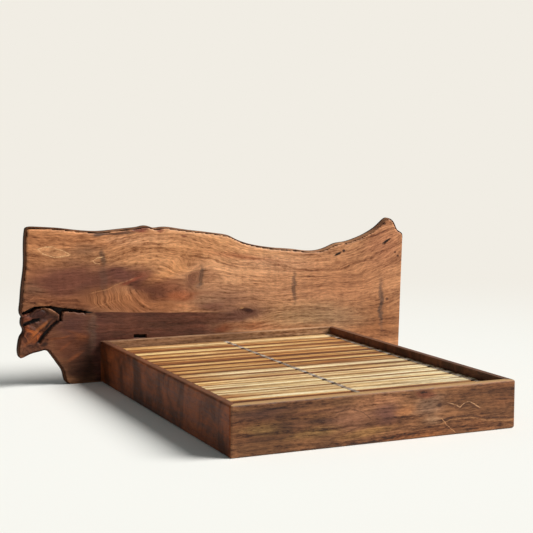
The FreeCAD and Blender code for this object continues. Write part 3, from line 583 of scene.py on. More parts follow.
def cut_rows(bm, faces, direction, low, high, step):
    """Cut faces by parallel planes one step apart; only what lies ahead is cut again."""
    ahead = list(faces)
    for index in range(1, math.ceil((high - low) / step)):
        position = low + index * step
        touched = set(ahead)
        for face in ahead:
            touched.update(face.edges)
            touched.update(face.verts)
        cut = bmesh.ops.bisect_plane(
            bm, geom=list(touched), dist=CUT_TOLERANCE, plane_co=direction * position,
            plane_no=direction,
        )
        ahead = [
            face for face in faces_of(cut["geom"])
            if face.calc_center_median().dot(direction) > position
        ]


def take_outline(bm):
    """Take the plank's outline as one flat face: the back of its CAD solid."""
    bm.from_mesh(nodes["headboard_slab"].data)
    bmesh.ops.remove_doubles(bm, verts=bm.verts, dist=WELD)
    others = [
        face for face in bm.faces
        if min(vert.co.y for vert in face.verts) < plank_high.y - BACK_TOLERANCE
    ]
    bmesh.ops.delete(bm, geom=others, context="FACES")
    bmesh.ops.dissolve_faces(bm, faces=bm.faces[:])


def is_live(point):
    """Whether a place on the outline is natural edge, not the sawn foot or right end."""
    on_foot = point.z < plank_low.z + FOOT_CUT_REACH
    on_right = point.x > plank_high.x - RIGHT_CUT_REACH and point.z < RIGHT_CUT_TOP
    return not (on_foot or on_right)


def ring_inward(loop):
    """The direction into the face at one corner of its outline."""
    before = loop.link_loop_prev.vert.co
    after = loop.link_loop_next.vert.co
    along = (after - before).normalized()
    return loop.face.normal.cross(along)


def make_plank_mesh():
    solid = bmesh.new()
    solid.from_mesh(nodes["headboard_slab"].data)
    solid_tree = BVHTree.FromBMesh(solid)
    solid.free()
    bm = bmesh.new()
    take_outline(bm)
    outline = kdtree.KDTree(len(bm.verts) * EDGE_PARTS)
    spots = []
    for edge in bm.edges:
        if is_live(edge.verts[0].co) and is_live(edge.verts[1].co):
            for part in range(EDGE_PARTS):
                spots.append(edge.verts[0].co.lerp(edge.verts[1].co, part / EDGE_PARTS))
    for index, spot in enumerate(spots):
        outline.insert((spot.x, 0, spot.z), index)
    outline.balance()
    thickness = plank_high.y - plank_low.y
    front = bm.faces[:]
    depth = 0.0
    wane = 0.0
    for share, drawn_in in WANE_STEPS:
        grown = bmesh.ops.extrude_face_region(bm, geom=front)
        if depth > 0:
            bmesh.ops.delete(bm, geom=front, context="FACES_ONLY")
        front = faces_of(grown["geom"])
        bmesh.ops.translate(
            bm, verts=[item for item in grown["geom"] if isinstance(item, bmesh.types.BMVert)],
            vec=(0, -(share - depth) * thickness, 0),
        )
        bm.normal_update()
        moves = {}
        for face in front:
            for loop in face.loops:
                if is_live(loop.vert.co):
                    lump = 0.75 + 0.5 * noise.noise(loop.vert.co * WANE_LUMPS)
                    moves[loop.vert] = ring_inward(loop) * (drawn_in - wane) * lump
        for vert, move in moves.items():
            vert.co += Vector((move.x, 0, move.z))
        depth = share
        wane = drawn_in
    bmesh.ops.recalc_face_normals(bm, faces=bm.faces)
    for direction, low, high in (
        (ALONG, plank_low.x, plank_high.x), (UP, plank_low.z, plank_high.z),
    ):
        seen = [face for face in bm.faces if face.normal.y < BACK_NORMAL]
        cut_rows(bm, seen, direction, low, high, PLANK_STEP)
    for low_x, high_x, low_z, high_z, step in FINE_BOXES:
        for direction, low, high in ((ALONG, low_x, high_x), (UP, low_z, high_z)):
            chosen = []
            for face in bm.faces:
                x, _, z = face.calc_center_median()
                if face.normal.y < BACK_NORMAL and low_x < x < high_x and low_z < z < high_z:
                    chosen.append(face)
            cut_rows(bm, chosen, direction, low, high, step)
    sculpt_plank(bm, solid_tree, outline)
    return bm


# The rounded growths of the burl: x, z, half width, half height, turn and rise
BURL_LOBES = [
    (-1.225, 0.452, 0.055, 0.03, 4, 0.012),
    (-1.3, 0.425, 0.05, 0.03, -20, 0.01),
    (-1.255, 0.4, 0.045, 0.022, -25, 0.008),
    (-1.275, 0.315, 0.06, 0.1, 35, 0.013),
    (-1.205, 0.375, 0.05, 0.028, 38, 0.008),
    (-1.255, 0.23, 0.075, 0.036, 8, 0.01),
    (-1.325, 0.255, 0.03, 0.05, 0, 0.008),
]
BURL_FACE_DEPTH = 0.010
BURL_SINK = 0.003
DEPTH_TOLERANCE = 0.001
RAY_START = 0.01
EDGE_MARGIN = 0.012
EDGE_WEAR = 0.002
EDGE_DENTS = 26
BURL_DENTS = 34
FACE_WAVE = 0.0008
CARVED_DEPTH = 0.003
# how deep the painted shade of a hollow starts, and over how much more depth it comes in full
BURL_HOLLOW = (BURL_FACE_DEPTH + BURL_SINK, 0.01)
FACE_HOLLOW = (0.002, 0.006)


def lobe_height(x, z):
    height = 0.0
    for middle_x, middle_z, half_x, half_z, turn, rise in BURL_LOBES:
        angle = math.radians(turn)
        away_x = x - middle_x
        away_z = z - middle_z
        along = (away_x * math.cos(angle) + away_z * math.sin(angle)) / half_x
        across = (-away_x * math.sin(angle) + away_z * math.cos(angle)) / half_z
        inside = 1 - along * along - across * across
        if inside > 0:
            height = max(height, rise * math.sqrt(inside))
    return height


def sculpt_plank(bm, solid_tree, outline):
    """Sink the openings as deep as the solid has them, raise the burl, and wear the edge."""
    front_y = plank_low.y
    rim = bm.loops.layers.float.new("rim")
    hollow_shade = bm.verts.layers.float.new("hollow_shade")
    for vert in bm.verts:
        x, y, z = vert.co
        _, _, distance = outline.find((x, 0, z))
        for loop in vert.link_loops:
            loop[rim] = 1.0 if loop.face.normal.y > BACK_NORMAL else distance
        if y > plank_high.y - BACK_TOLERANCE:
            continue
        if y > front_y + BACK_TOLERANCE:
            if is_live(vert.co):
                vert.co.z -= EDGE_WEAR * abs(noise.noise(vert.co * EDGE_DENTS))
            continue
        outside = Vector((x, front_y - RAY_START, z))
        hit, _, _, depth = solid_tree.ray_cast(outside, Vector((0, 1, 0)))
        depth = 0.0 if hit is None else max(0.0, depth - RAY_START)
        if distance < EDGE_MARGIN and depth < BURL_FACE_DEPTH - DEPTH_TOLERANCE:
            depth = 0.0
        if abs(depth - BURL_FACE_DEPTH) < DEPTH_TOLERANCE:
            depth = max(0.0, depth + BURL_SINK - lobe_height(x, z))
            depth += BURL_SINK * abs(noise.noise(Vector((x, 0, z)) * BURL_DENTS))
        lift = FACE_WAVE * noise.noise(Vector((x * 1.5, 0, z * 5)))
        vert.co.y = front_y + max(0.0, depth + FACE_WAVE + lift)
        # how deep each place is sets how much painted shade it gets
        start, reach = BURL_HOLLOW if x < BURL_RIGHT and z < BURL_TOP else FACE_HOLLOW
        vert[hollow_shade] = min(1.0, max(0.0, (depth - start) / reach))
    carved = [
        vert for vert in bm.verts if vert.co.y > front_y + CARVED_DEPTH and vert[hollow_shade] > 0
    ]
    bmesh.ops.smooth_vert(
        bm, verts=carved, factor=0.3, use_axis_x=False, use_axis_y=True, use_axis_z=False,
    )


SHARP_FROM = math.radians(35)


def new_object(name, data):
    """A new object in the scene that shows some data."""
    item = bpy.data.objects.new(name, data)
    bpy.context.scene.collection.objects.link(item)
    return item


def new_mesh(name, bm, material):
    mesh = bpy.data.meshes.new(name)
    bm.to_mesh(mesh)
    bm.free()
    mesh.materials.append(material)
    return mesh


def finish_piece(name, bm, material, body, replaced):
    """Turn a bmesh into a named piece that rides on a body in place of CAD nodes."""
    mesh = new_mesh(name, bm, material)
    mesh.polygons.foreach_set("use_smooth", [True] * len(mesh.polygons))
    mesh.set_sharp_from_angle(angle=SHARP_FROM)
    piece = new_object(name, mesh)
    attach(piece, body)
    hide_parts(*replaced)
    return piece


# How far the grain rises over or drops under level along the plank, as shares
GRAIN_LENGTH = 2.7
EDGE_LINE = [
    (0.0, 0.6), (0.17, 0.57), (0.3, 0.6), (0.42, 0.58), (0.55, 0.5), (0.72, 0.42),
    (0.84, 0.46), (1.0, 0.6),
]
# x, z, half width, half height, turn and swell of each place where the grain bulges
BULGES = [
    (-1.13, 0.822, 0.15, 0.03, -12, 0.03),
    (-0.25, 0.7, 0.13, 0.05, 0, 0.05),
    (0.26, 0.33, 0.1, 0.04, 20, 0.03),
    (0.7, 0.5, 0.25, 0.08, 0, -0.03),
    (0.95, 0.6, 0.2, 0.06, -10, 0.03),
]
# Eyes of round grain (x, z, half width, half height, turn), and where each shows
PLANK_EYES = [
    ((-0.4, 0.64, 0.22, 0.19, 0), (-0.64, 0.51, 0.3, 0.085, -6)),
    ((-0.35, 0.54, 0.19, 0.07, 0), (-0.35, 0.54, 0.175, 0.068, 0)),
    ((-0.202, 0.63, 0.035, 0.035, 0), (-0.202, 0.63, 0.055, 0.05, 0)),
    ((0.164, 0.395, 0.035, 0.022, 0), (0.164, 0.395, 0.08, 0.045, 0)),
    ((-1.225, 0.452, 0.055, 0.03, 4), (-1.225, 0.452, 0.06, 0.034, 4)),
    ((-1.275, 0.315, 0.06, 0.1, 35), (-1.275, 0.315, 0.066, 0.11, 35)),
    ((-1.255, 0.23, 0.075, 0.036, 8), (-1.255, 0.23, 0.085, 0.042, 8)),
]
PLANK_PATCHES = [
    # the pale orange band along the top, and the pale loops in it
    (-0.95, 0.9, 0.45, 0.07, "c37e4f", 0.6, 2, 0.9),
    (-0.56, 0.88, 0.18, 0.03, "eeb082", 0.7, -4),
    (-0.2, 0.82, 0.42, 0.085, "de9c67", 0.8, 3, 0.9),
    (-1.11, 0.826, 0.1, 0.026, "d69f70", 0.35, -12),
    (-0.83, 0.765, 0.05, 0.026, "d69f70", 0.35),
    (-0.98, 0.76, 0.07, 0.03, "a06c49", 0.7, -10),
    (-0.91, 0.835, 0.1, 0.035, "875c40", 0.75),
    # left end, purple cloud and the brown strip under it
    (-1.26, 0.7, 0.09, 0.08, "9a5f3b", 0.8),
    (-1.02, 0.638, 0.24, 0.116, "734030", 0.95, 2, 0.55),
    (-0.93, 0.575, 0.07, 0.045, "5c352a", 0.85, 0, 0.7),
    (-0.84, 0.605, 0.07, 0.045, "4e2e26", 0.75, 10),
    (-0.8, 0.65, 0.12, 0.07, "6d3e2d", 0.9, 15, 0.7),
    (-1.255, 0.6, 0.06, 0.045, "7b523b", 0.8, 0, 0.7),
    (-1.1, 0.525, 0.24, 0.032, "8a5234", 0.9, -8, 0.7),
    # feather, dark cloud over it with its spots, and the lens
    (-0.62, 0.5, 0.34, 0.08, "a86940", 0.8, -6, 0.6),
    (-0.62, 0.655, 0.17, 0.06, "6b3d31", 0.95, -15, 0.5),
    (-0.5, 0.64, 0.11, 0.045, "8a5238", 0.85, -20),
    (-0.7, 0.7, 0.045, 0.02, "6f4032", 0.9, -10, 0.7),
    (-0.56, 0.612, 0.05, 0.024, "5f3427", 0.9, -20, 0.7),
    (-0.64, 0.632, 0.06, 0.01, "9a4c32", 0.6, 25),
    (-0.37, 0.565, 0.19, 0.075, "8a4f35", 0.85, -4, 0.7),
    (-0.28, 0.515, 0.11, 0.03, "b66941", 0.85, 0, 0.7),
    (-0.48, 0.565, 0.09, 0.05, "6c3d2a", 0.9, -35),
    (-0.36, 0.455, 0.2, 0.014, "c68351", 0.4, -3),
    (-0.5, 0.445, 0.42, 0.03, "8f5a3b", 0.55, -2, 0.9),
    (-0.35, 0.69, 0.14, 0.042, "d18f5a", 0.8, 20),
    (-0.13, 0.66, 0.08, 0.05, "8f5d41", 0.8, -15),
    (-0.2, 0.628, 0.055, 0.05, "6c3a2a", 0.95, 0, 0.6),
    (-0.153, 0.68, 0.02, 0.012, "68584d", 0.8),
    (-0.14, 0.582, 0.02, 0.012, "68584d", 0.8),
    (0.02, 0.495, 0.22, 0.08, "8c6049", 0.85, -8, 0.9),
    (-0.1, 0.485, 0.09, 0.02, "b58a68", 0.6, -3),
    (-0.06, 0.44, 0.12, 0.036, "6f4636", 0.85),
    (0.55, 0.5, 0.42, 0.055, "a97654", 0.6, -2, 0.9),
    # salmon wood right of the middle and the redder right end
    (0.3, 0.735, 0.35, 0.018, "b96940", 0.7, -8),
    (0.22, 0.64, 0.42, 0.09, "dfa376", 0.5, -4, 0.9),
    (0.44, 0.7, 0.22, 0.045, "f0b88c", 0.75, -3),
    (0.85, 0.64, 0.42, 0.14, "c38458", 0.6, 0, 0.9),
    (0.92, 0.53, 0.24, 0.085, "ad7048", 0.6, 0, 0.9),
    (1.12, 0.25, 0.26, 0.15, "94592f", 0.8, 0, 0.9),
    (1.2, 0.8, 0.12, 0.13, "c27e58", 0.7, 0, 0.9),
    # olive patch, dark knot with its pale heart, and the warm patches low down
    (0.62, 0.33, 0.34, 0.08, "ae8a64", 0.9, -3, 0.95),
    (0.1, 0.37, 0.2, 0.05, "6d4639", 0.92, 6, 0.7),
    (0.164, 0.395, 0.032, 0.018, "4f2a1d", 0.95, 0, 0.5),
    (0.142, 0.416, 0.014, 0.008, "cb9864", 0.9, 0, 0.5),
    (-0.021, 0.287, 0.07, 0.022, "ac5c30", 0.9, 8, 0.7),
    (0.2, 0.29, 0.15, 0.026, "9a5d39", 0.8),
    # left foot under the burl; its two near-black patches at the lower right are the left side
    # rail's shadow, painted
    (-1.0, 0.28, 0.17, 0.2, "6a3925", 0.95, 0, 0.6),
    (-1.01, 0.385, 0.16, 0.075, "5b352b", 0.85, 5),
    (-1.11, 0.296, 0.05, 0.012, "a0572c", 0.5, 20),
    (-0.98, 0.3, 0.07, 0.016, "935028", 0.5, -30),
    # painted shadow: where the left side rail shades the plank's foot
    (-0.9, 0.19, 0.06, 0.09, "2c170f", 0.8),
    (-0.93, 0.08, 0.16, 0.1, "391d12", 0.95),
    (-0.72, 0.262, 0.1, 0.01, "a2562e", 0.9),
    # burl: violet upper lobe, orange-brown main lobe, dull lower one
    (-1.27, 0.33, 0.12, 0.22, "5c301e", 0.9, 20, 0.5),
    (-1.225, 0.452, 0.06, 0.034, "46221a", 0.95, 4, 0.5),
    (-1.165, 0.425, 0.05, 0.045, "3c1e17", 0.9, 0, 0.6),
    (-1.3, 0.425, 0.05, 0.034, "633425", 0.9, -20, 0.5),
    (-1.27, 0.32, 0.052, 0.1, "713b21", 0.95, 35, 0.5),
    (-1.255, 0.34, 0.02, 0.07, "ad571f", 0.85, 35),
    (-1.255, 0.23, 0.085, 0.036, "6b3f2a", 0.9, 8, 0.5),
    # bits of bark left along the top edge
    (-0.83, 0.932, 0.055, 0.014, "5f4538", 0.9, 0, 0.6),
    (-0.69, 0.934, 0.11, 0.01, "5f4030", 0.9, 4, 0.6),
    (-0.56, 0.952, 0.05, 0.016, "8a4632", 0.9, 0, 0.6),
    (-0.415, 0.94, 0.02, 0.009, "8a4c34", 0.9, 0, 0.6),
    (-0.285, 0.905, 0.022, 0.01, "8a4c34", 0.9, 0, 0.6),
]
PLANK_LINES = [
    # pale rims of the loops at the left, points from left to right
    ([(-1.214, 0.854), (-1.18, 0.865), (-1.127, 0.863), (-1.06, 0.835), (-1.014, 0.812)], 0.003,
     "f2c08a", 0.9),
    ([(-1.214, 0.852), (-1.19, 0.822), (-1.115, 0.797), (-1.02, 0.806)], 0.003, "f2c08a", 0.85),
    ([(-0.88, 0.77), (-0.85, 0.788), (-0.809, 0.792)], 0.003, "f2c08a", 0.85),
    ([(-0.88, 0.768), (-0.865, 0.75), (-0.835, 0.742)], 0.003, "f2c08a", 0.85),
    # arcs of the feather and the long lines under the live edge
    ([(-0.902, 0.56), (-0.779, 0.585), (-0.727, 0.612), (-0.621, 0.645)], 0.0025, "e19f67", 0.48),
    ([(-0.897, 0.47), (-0.701, 0.52), (-0.6, 0.58)], 0.0025, "d69461", 0.4),
    ([(-0.461, 0.65), (-0.332, 0.724), (-0.27, 0.733), (-0.229, 0.655)], 0.0025, "efb078", 0.48),
    ([(-0.45, 0.63), (-0.332, 0.7), (-0.28, 0.705), (-0.245, 0.65)], 0.0025, "efb078", 0.4),
    ([(0, 0.7), (0.192, 0.722), (0.4, 0.7), (0.6, 0.65)], 0.0025, "a66644", 0.4),
    ([(-0.1, 0.77), (0.1, 0.765), (0.3, 0.735), (0.5, 0.7)], 0.0025, "ab613e", 0.4),
    ([(0.7, 0.64), (0.86, 0.7), (1, 0.66)], 0.0025, "a66644", 0.4),
    ([(-1.35, 0.505), (-1.244, 0.556), (-1.057, 0.515), (-0.9, 0.5)], 0.0025, "b9754a", 0.48),
]
# Calm clouds and lively figure: x, z, half width, half height, turn, change of contrast
PLANK_MOODS = [
    (-1.02, 0.64, 0.26, 0.1, -4, -0.45),
    (-0.64, 0.52, 0.34, 0.08, -6, 0.1),
    (-1, 0.26, 0.17, 0.18, 0, -0.5),
    (-1.27, 0.33, 0.1, 0.2, 20, 0.9),
    (-0.35, 0.535, 0.18, 0.07, 0, -0.2),
]
# Small dark holes, knots and clefts on the face, placed exactly
PLANK_SPOTS = [
    (0.842, 0.75, 0.03, 0.0075, "120a08", 0.97, 22, 0.4),
    (0.888, 0.77, 0.011, 0.009, "2a140f", 0.95, 0, 0.4),
    (1.214, 0.823, 0.034, 0.007, "160b08", 0.97, 30, 0.4),
    (1.29, 0.746, 0.009, 0.007, "4a2418", 0.9, 0, 0.5),
    (1.311, 0.72, 0.009, 0.007, "4a2418", 0.9, 0, 0.5),
    (1.227, 0.422, 0.012, 0.009, "54301f", 0.9, 0, 0.6),
    (1.202, 0.946, 0.012, 0.009, "54301f", 0.8, 0, 0.6),
    (0.461, 0.789, 0.008, 0.006, "2a1610", 0.9, 0, 0.5),
    (0.527, 0.783, 0.008, 0.006, "2a1610", 0.9, 0, 0.5),
    (-0.912, 0.446, 0.032, 0.006, "0e0806", 0.95, -6, 0.4),
    (-1.272, 0.404, 0.062, 0.013, "0e0806", 0.95, 15, 0.4),
    (-1.21, 0.3, 0.05, 0.012, "120a07", 0.95, 50, 0.5),
    (-1.165, 0.38, 0.03, 0.01, "140b08", 0.9, 60, 0.5),
    (-1.19, 0.262, 0.022, 0.012, "1c100b", 0.8, 20, 0.6),
    (-1.215, 0.36, 0.07, 0.01, "b0632c", 0.6, 38),
    (-1.265, 0.3, 0.06, 0.009, "a85a28", 0.6, 42),
    (-1.225, 0.335, 0.05, 0.005, "3a1c10", 0.7, 40),
    (-1.3, 0.455, 0.03, 0.008, "8c4a30", 0.5, 25),
    (-1.0, 0.17, 0.05, 0.01, "94502c", 0.6, 30),
    (-1.06, 0.24, 0.04, 0.008, "8c4a2a", 0.6, 35),
    (0.18, 0.4, 0.02, 0.01, "3c1f17", 0.8, 0, 0.6),
]
STICKER_MARKS = [
    # the grey marks that drying sticks left: x, low, high, half width, strength
    (-0.81, 0.733, 0.839, 0.018, 0.75),
    (-0.81, 0.56, 0.74, 0.026, 0.4),
    (-0.883, 0.225, 0.434, 0.028, 0.65),
    (-0.15, 0.585, 0.705, 0.014, 0.7),
    (0.516, 0.443, 0.64, 0.016, 0.75),
    (1.183, 0.221, 0.555, 0.018, 0.8),
]
# The brown band under the pale wood: its straight top line at x 0, and how that slopes
BAND_TOP = 0.397
BAND_SLOPE = -0.055


def make_flow_group():
    """The plank's own grain field: lines that follow the live edge and bulge in places."""
    group, entry, ending = new_group("plank_flow", [("Place", "Vector")], [("Lie", "Vector")])
    place = entry["Place"]
    parts = axes(group, place)
    share = scaled(group, parts["X"], 1 / GRAIN_LENGTH, 0.5)
    follow = span(group, parts["Z"], 0.22, 0.85)
    rise = minus(group, curved(group, share, EDGE_LINE), 0.5)
    level = times(group, rise, follow)
    level = minus(group, parts["Z"], level)
    for *shape, swell in BULGES:
        distance = ellipse(group, place, *shape)["Distance"]
        squared = times(group, distance, distance)
        bell = calc(group, "EXPONENT", times(group, squared, -1.0))
        level = scaled(group, bell, swell, level)
    slow = speckle(group, place, (1.6, 3, 5), 2.0)
    level = scaled(group, slow, 0.10, level)
    quick = speckle(group, place, (7, 6, 14))
    level = scaled(group, quick, 0.018, level)
    deep = scaled(group, parts["Y"], 0.35, level)
    lie = put(group, "CombineXYZ", parts["X"], parts["Y"], deep).outputs[0]
    group.links.new(lie, ending["Lie"])
    return group


def plank_wood():
    material, tree, shader, place = new_material("plank_wood", 0.52, Specular_IOR_Level=0.3)
    lie = use_group(tree, make_flow_group(), place)["Lie"]
    curl = swirled(tree, lie, (5, 12, 26), 4.0, (0.18, 0, 0.06))
    stained = vector_calc(tree, "ADD", place, curl)
    wavy = vector_calc(tree, "ADD", place, vector_calc(tree, "MULTIPLY", curl, (0.35, 0, 0.35)))
    bent, calm = add_eyes(tree, wavy, lie, 1.0, PLANK_EYES)
    figure = use_group(tree, figure_group, bent)["Figure"]
    parts = axes(tree, place)
    bent_parts = axes(tree, stained)
    stain = graded(tree, scaled(tree, parts["X"], 1 / GRAIN_LENGTH, 0.5), [
        (0.05, "bc7d50"), (0.5, "dfa576"), (0.95, "c3865a"),
    ])
    stain = add_patches(tree, stain, stained, PLANK_PATCHES)
    band_top = scaled(tree, parts["X"], BAND_SLOPE, BAND_TOP)
    depth = span(tree, parts["Y"], plank_low.y + 0.01, plank_high.y - 0.004)
    wander = times(tree, minus(tree, bent_parts["Z"], parts["Z"]),
                  scaled(tree, depth, 2.2, 0.25))
    below = minus(tree, band_top, plus(tree, parts["Z"], wander))
    band = span(tree, below, -0.003, scaled(tree, depth, 0.14, 0.005))
    band = times(tree, band, span(tree, bent_parts["X"], -0.90, -0.86))
    band = times(tree, band, span(tree, bent_parts["X"], -0.18, 0.22, 0.95, 0.0))
    band = times(tree, band, scaled(tree, depth, -0.55, 1.0))
    cloud = speckle(tree, lie, (3, 8, 16), 4.0, 0.65)
    stain = dye(tree, band, stain, graded(tree, cloud, [
        (0.36, "46261d"), (0.50, "593126"), (0.62, "6e3f30"),
    ]))
    smudge = speckle(tree, place, (60, 10, 22))
    for x, low, high, half, strength in STICKER_MARKS:
        mask = ellipse(tree, wavy, x, (low + high) / 2, half, (high - low) / 2)["Mask"]
        mask = times(tree, mask, span(tree, smudge, 0.25, 0.6, strength * 0.6, strength))
        stain = dye(tree, mask, stain, paint("5e4639"))
    chatter = speckle(tree, lie, (28, 1, 1.2), 2.0)
    shown = times(tree, calm, scaled(tree, band, -0.16, 0.82))
    shown = add_moods(tree, shown, stained, PLANK_MOODS)
    lines = times(tree, shown, 0.28)
    pores = times(tree, shown, 0.30)
    wood = use_group(tree, stain_group, stain, figure, shown, lines, pores)
    colour = add_lines(tree, wood["Colour"], wavy, PLANK_LINES)
    nearly = vector_calc(tree, "ADD", place, vector_calc(tree, "MULTIPLY", curl, (0.1, 0, 0.1)))
    colour = add_patches(tree, colour, nearly, PLANK_SPOTS)
    colour = shaded(tree, colour, span(tree, chatter, 0.3, 0.7, 0.94, 1.06))
    rim = put(tree, "Attribute", attribute_name="rim", attribute_type="GEOMETRY").outputs["Fac"]
    hollow_shade = put(tree, "Attribute", attribute_name="hollow_shade", attribute_type="GEOMETRY")
    bark_patch = speckle(tree, place, (14, 14, 14))
    bark_and_edge_shade = graded(tree, bark_patch, [(0.40, "50301f"), (0.62, "82553a"), (0.75, "a06c48")])
    uneven = scaled(tree, minus(tree, bark_patch, 0.5), 0.012, rim)
    # The left end's edge is painted darker, to near-black at the back: partly the bark there,
    # partly painted shade on the side that faces away from the light.
    left_end = span(tree, parts["X"], -1.02, -0.92, 0.92, 0.0)
    edge_dark = graded(tree, depth, [(0.1, "4a2a1c"), (0.35, "140b08")])
    bark_and_edge_shade = dye(tree, left_end, bark_and_edge_shade, edge_dark)
    barky = span(tree, uneven, 0.004, 0.010, 1.0, 0.0)
    strong = span(tree, parts["X"], 0.2, 0.7, 0.85, 0.4)
    colour = dye(tree, times(tree, barky, strong), colour, bark_and_edge_shade)
    dull = scaled(tree, times(tree, barky, left_end), -0.3, 0.3)
    tree.links.new(dull, shader.inputs["Specular IOR Level"])
    back = span(tree, parts["Y"], plank_high.y - 0.026, plank_high.y - 0.008)
    back = times(tree, back, span(tree, rim, 0.010, 0.014, 0.95, 0.0))
    colour = dye(tree, back, colour, paint("1a100b"))
    # painted shade: hollows, slits and the burl's fissure darkened towards near-black by their
    # depth
    colour = dye(tree, times(tree, hollow_shade.outputs["Fac"], 0.97), colour, paint("0c0706"))
    coat(tree, shader, colour, wood, 0.52)
    return material


finish_piece(
    "headboard_plank", make_plank_mesh(), plank_wood(), "bed_frame",
    ["headboard_slab"],
)


# Slats
# Thin boards sawn from mixed sapwood and heartwood, their long arrises rubbed round.
# They lie loose on the ledgers and the beam, and no two have the same figure.
SLAT_ARRIS = 0.003
SLAT_SPANS = 12
SLAT_WAVE = 0.0012
SLAT_MARGIN = 0.005
EDGE_SHADE_WIDTH = 0.016
slat_names = sorted(name for name in nodes if name.startswith("slat_"))
first_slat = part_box(slat_names[0])
slat_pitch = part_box(slat_names[1])[0].y - first_slat[0].y
slat_gap = slat_pitch - (first_slat[1].y - first_slat[0].y)
half_slat = (slat_pitch - slat_gap) / 2
# How pale the slats are from the foot end to the head end, both as shares
SLAT_PALENESS = [
    (0.0, 0.04), (0.1, 0.02), (0.13, 0.55), (0.19, 0.6), (0.21, 1.0), (0.3, 1.0), (0.33, 0.42),
    (0.4, 0.38), (0.42, 0.54), (0.49, 0.54), (0.51, 0.1), (0.68, 0.06), (0.72, 0.28),
    (0.79, 0.28), (0.82, 0.0), (0.89, 0.0), (0.91, 0.36), (1.0, 0.36),
]


def slat_wood():
    material, tree, shader, place = new_material("slat_wood", 0.55, Specular_IOR_Level=0.3)
    parts = axes(tree, place)
    number = calc(tree, "FLOOR", calc(
        tree, "DIVIDE", minus(tree, parts["Y"], first_slat[0].y - SLAT_MARGIN), slat_pitch,
    ))
    chance = put(tree, "TexWhiteNoise", None, number, noise_dimensions="1D").outputs["Value"]
    apart = times(tree, chance, 37.0)
    own = put(tree, "CombineXYZ", plus(tree, parts["X"], apart), parts["Y"],
              plus(tree, parts["Z"], apart)).outputs[0]
    figure = use_group(tree, figure_group, own)["Figure"]
    share = put(tree, "MapRange", parts["Y"], first_slat[0].y, -first_slat[0].y).outputs[0]
    pale = times(tree, curved(tree, share, SLAT_PALENESS, "VECTOR"), 1.2)
    pale = plus(tree, pale, span(tree, parts["X"], -0.75, -0.40, -0.35, 0.0))
    right_end = span(tree, parts["X"], 0.30, 0.70, 0.0, 0.25)
    pale = scaled(tree, right_end, span(tree, parts["Y"], 0.4, -0.1), pale)
    stripes = speckle(tree, own, (0.5, 24, 10), 4.0, 0.65)
    level = scaled(tree, stripes, 2.8, -1.15)
    level = scaled(tree, chance, 0.34, level)
    level = scaled(tree, pale, 0.20, level)
    # painted shade: each slat darkens towards both long edges, so that the gaps between the slats
    # read dark
    across = minus(tree, parts["Y"], first_slat[0].y)
    across = minus(tree, across, times(tree, number, slat_pitch))
    middle = calc(tree, "ABSOLUTE", minus(tree, across, half_slat))
    painted_shading = span(tree, middle, half_slat - EDGE_SHADE_WIDTH, half_slat)
    level = scaled(tree, painted_shading, -0.45, level)
    brown = graded(tree, level, [
        (0.05, "6b3c1d"), (0.28, "985e30"), (0.48, "b97d42"), (0.64, "d0a05e"), (0.85, "e6c688"),
    ])
    cream = graded(tree, level, [
        (0.05, "8f6238"), (0.28, "bf965f"), (0.48, "dcbc85"), (0.64, "eed8a8"), (0.85, "f8ebc8"),
    ])
    stain = dye(tree, span(tree, pale, 0.15, 1.0), brown, cream)
    red = speckle(tree, own, (0.8, 60, 20), 2.0, 0.5)
    stain = dye(tree, span(tree, red, 0.62, 0.70, 0.0, 0.7), stain, paint("9a5a2f"))
    wood = use_group(tree, stain_group, stain, figure, 0.5, 0.25, 0.2)
    coat(tree, shader, wood["Colour"], wood, 0.54, 0.0005)
    return material


def make_slat(node, material):
    low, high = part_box(node)
    bm = bmesh.new()
    place = Matrix.Translation((low + high) / 2) @ Matrix.Diagonal((*(high - low), 1))
    bmesh.ops.create_cube(bm, size=1, matrix=place)
    long_edges = [edge for edge in bm.edges if edge.calc_length() > (high.x - low.x) / 2]
    bmesh.ops.bevel(
        bm, geom=long_edges, offset=SLAT_ARRIS, affect="EDGES", segments=3, profile=0.5,
        material=-1,
    )
    for index in range(1, SLAT_SPANS):
        position = low.x + index * (high.x - low.x) / SLAT_SPANS
        whole = bm.verts[:] + bm.edges[:] + bm.faces[:]
        bmesh.ops.bisect_plane(
            bm, geom=whole, dist=CUT_TOLERANCE, plane_co=(position, 0, 0), plane_no=(1, 0, 0),
        )
    for vert in bm.verts:
        vert.co.y += SLAT_WAVE * noise.noise(Vector((vert.co.x * 1.7, low.y * 31, 0)))
    finish_piece(node + "_board", bm, material, "slat_roll", [node])


slat_material = slat_wood()
for name in slat_names:
    make_slat(name, slat_material)


# Webbing
# Three woven tapes run over the slats and are stapled to each, so that the deck keeps
# its gaps and rolls up in one piece. The tape dips a little where it crosses a gap.
TAPE_DIP = 0.0025
TAPE_COLUMNS = 5
WEFT_PITCH = 0.0022
WARP_PITCH = 0.0018
TAPE_ROWS = 320
# Painted shade over each gap, where the tape dips, and a painted highlight behind it: soft start,
# soft end, strength, colour
TAPE_SHADE_AND_SHEEN = [
    ((-0.004, 0.004), (slat_gap + 0.014, slat_gap + 0.022), 0.9, "2a1c16"),
    ((slat_gap + 0.018, slat_gap + 0.024), (slat_gap + 0.05, slat_gap + 0.058), 0.8, "ddd0c2"),
]


def tape_dip(y):
    """How far the tape hangs below the slat tops at one place along the bed."""
    along = (y - first_slat[1].y) % slat_pitch
    if along > slat_gap:
        return 0.0
    return TAPE_DIP * math.sin(math.pi * along / slat_gap) ** 2


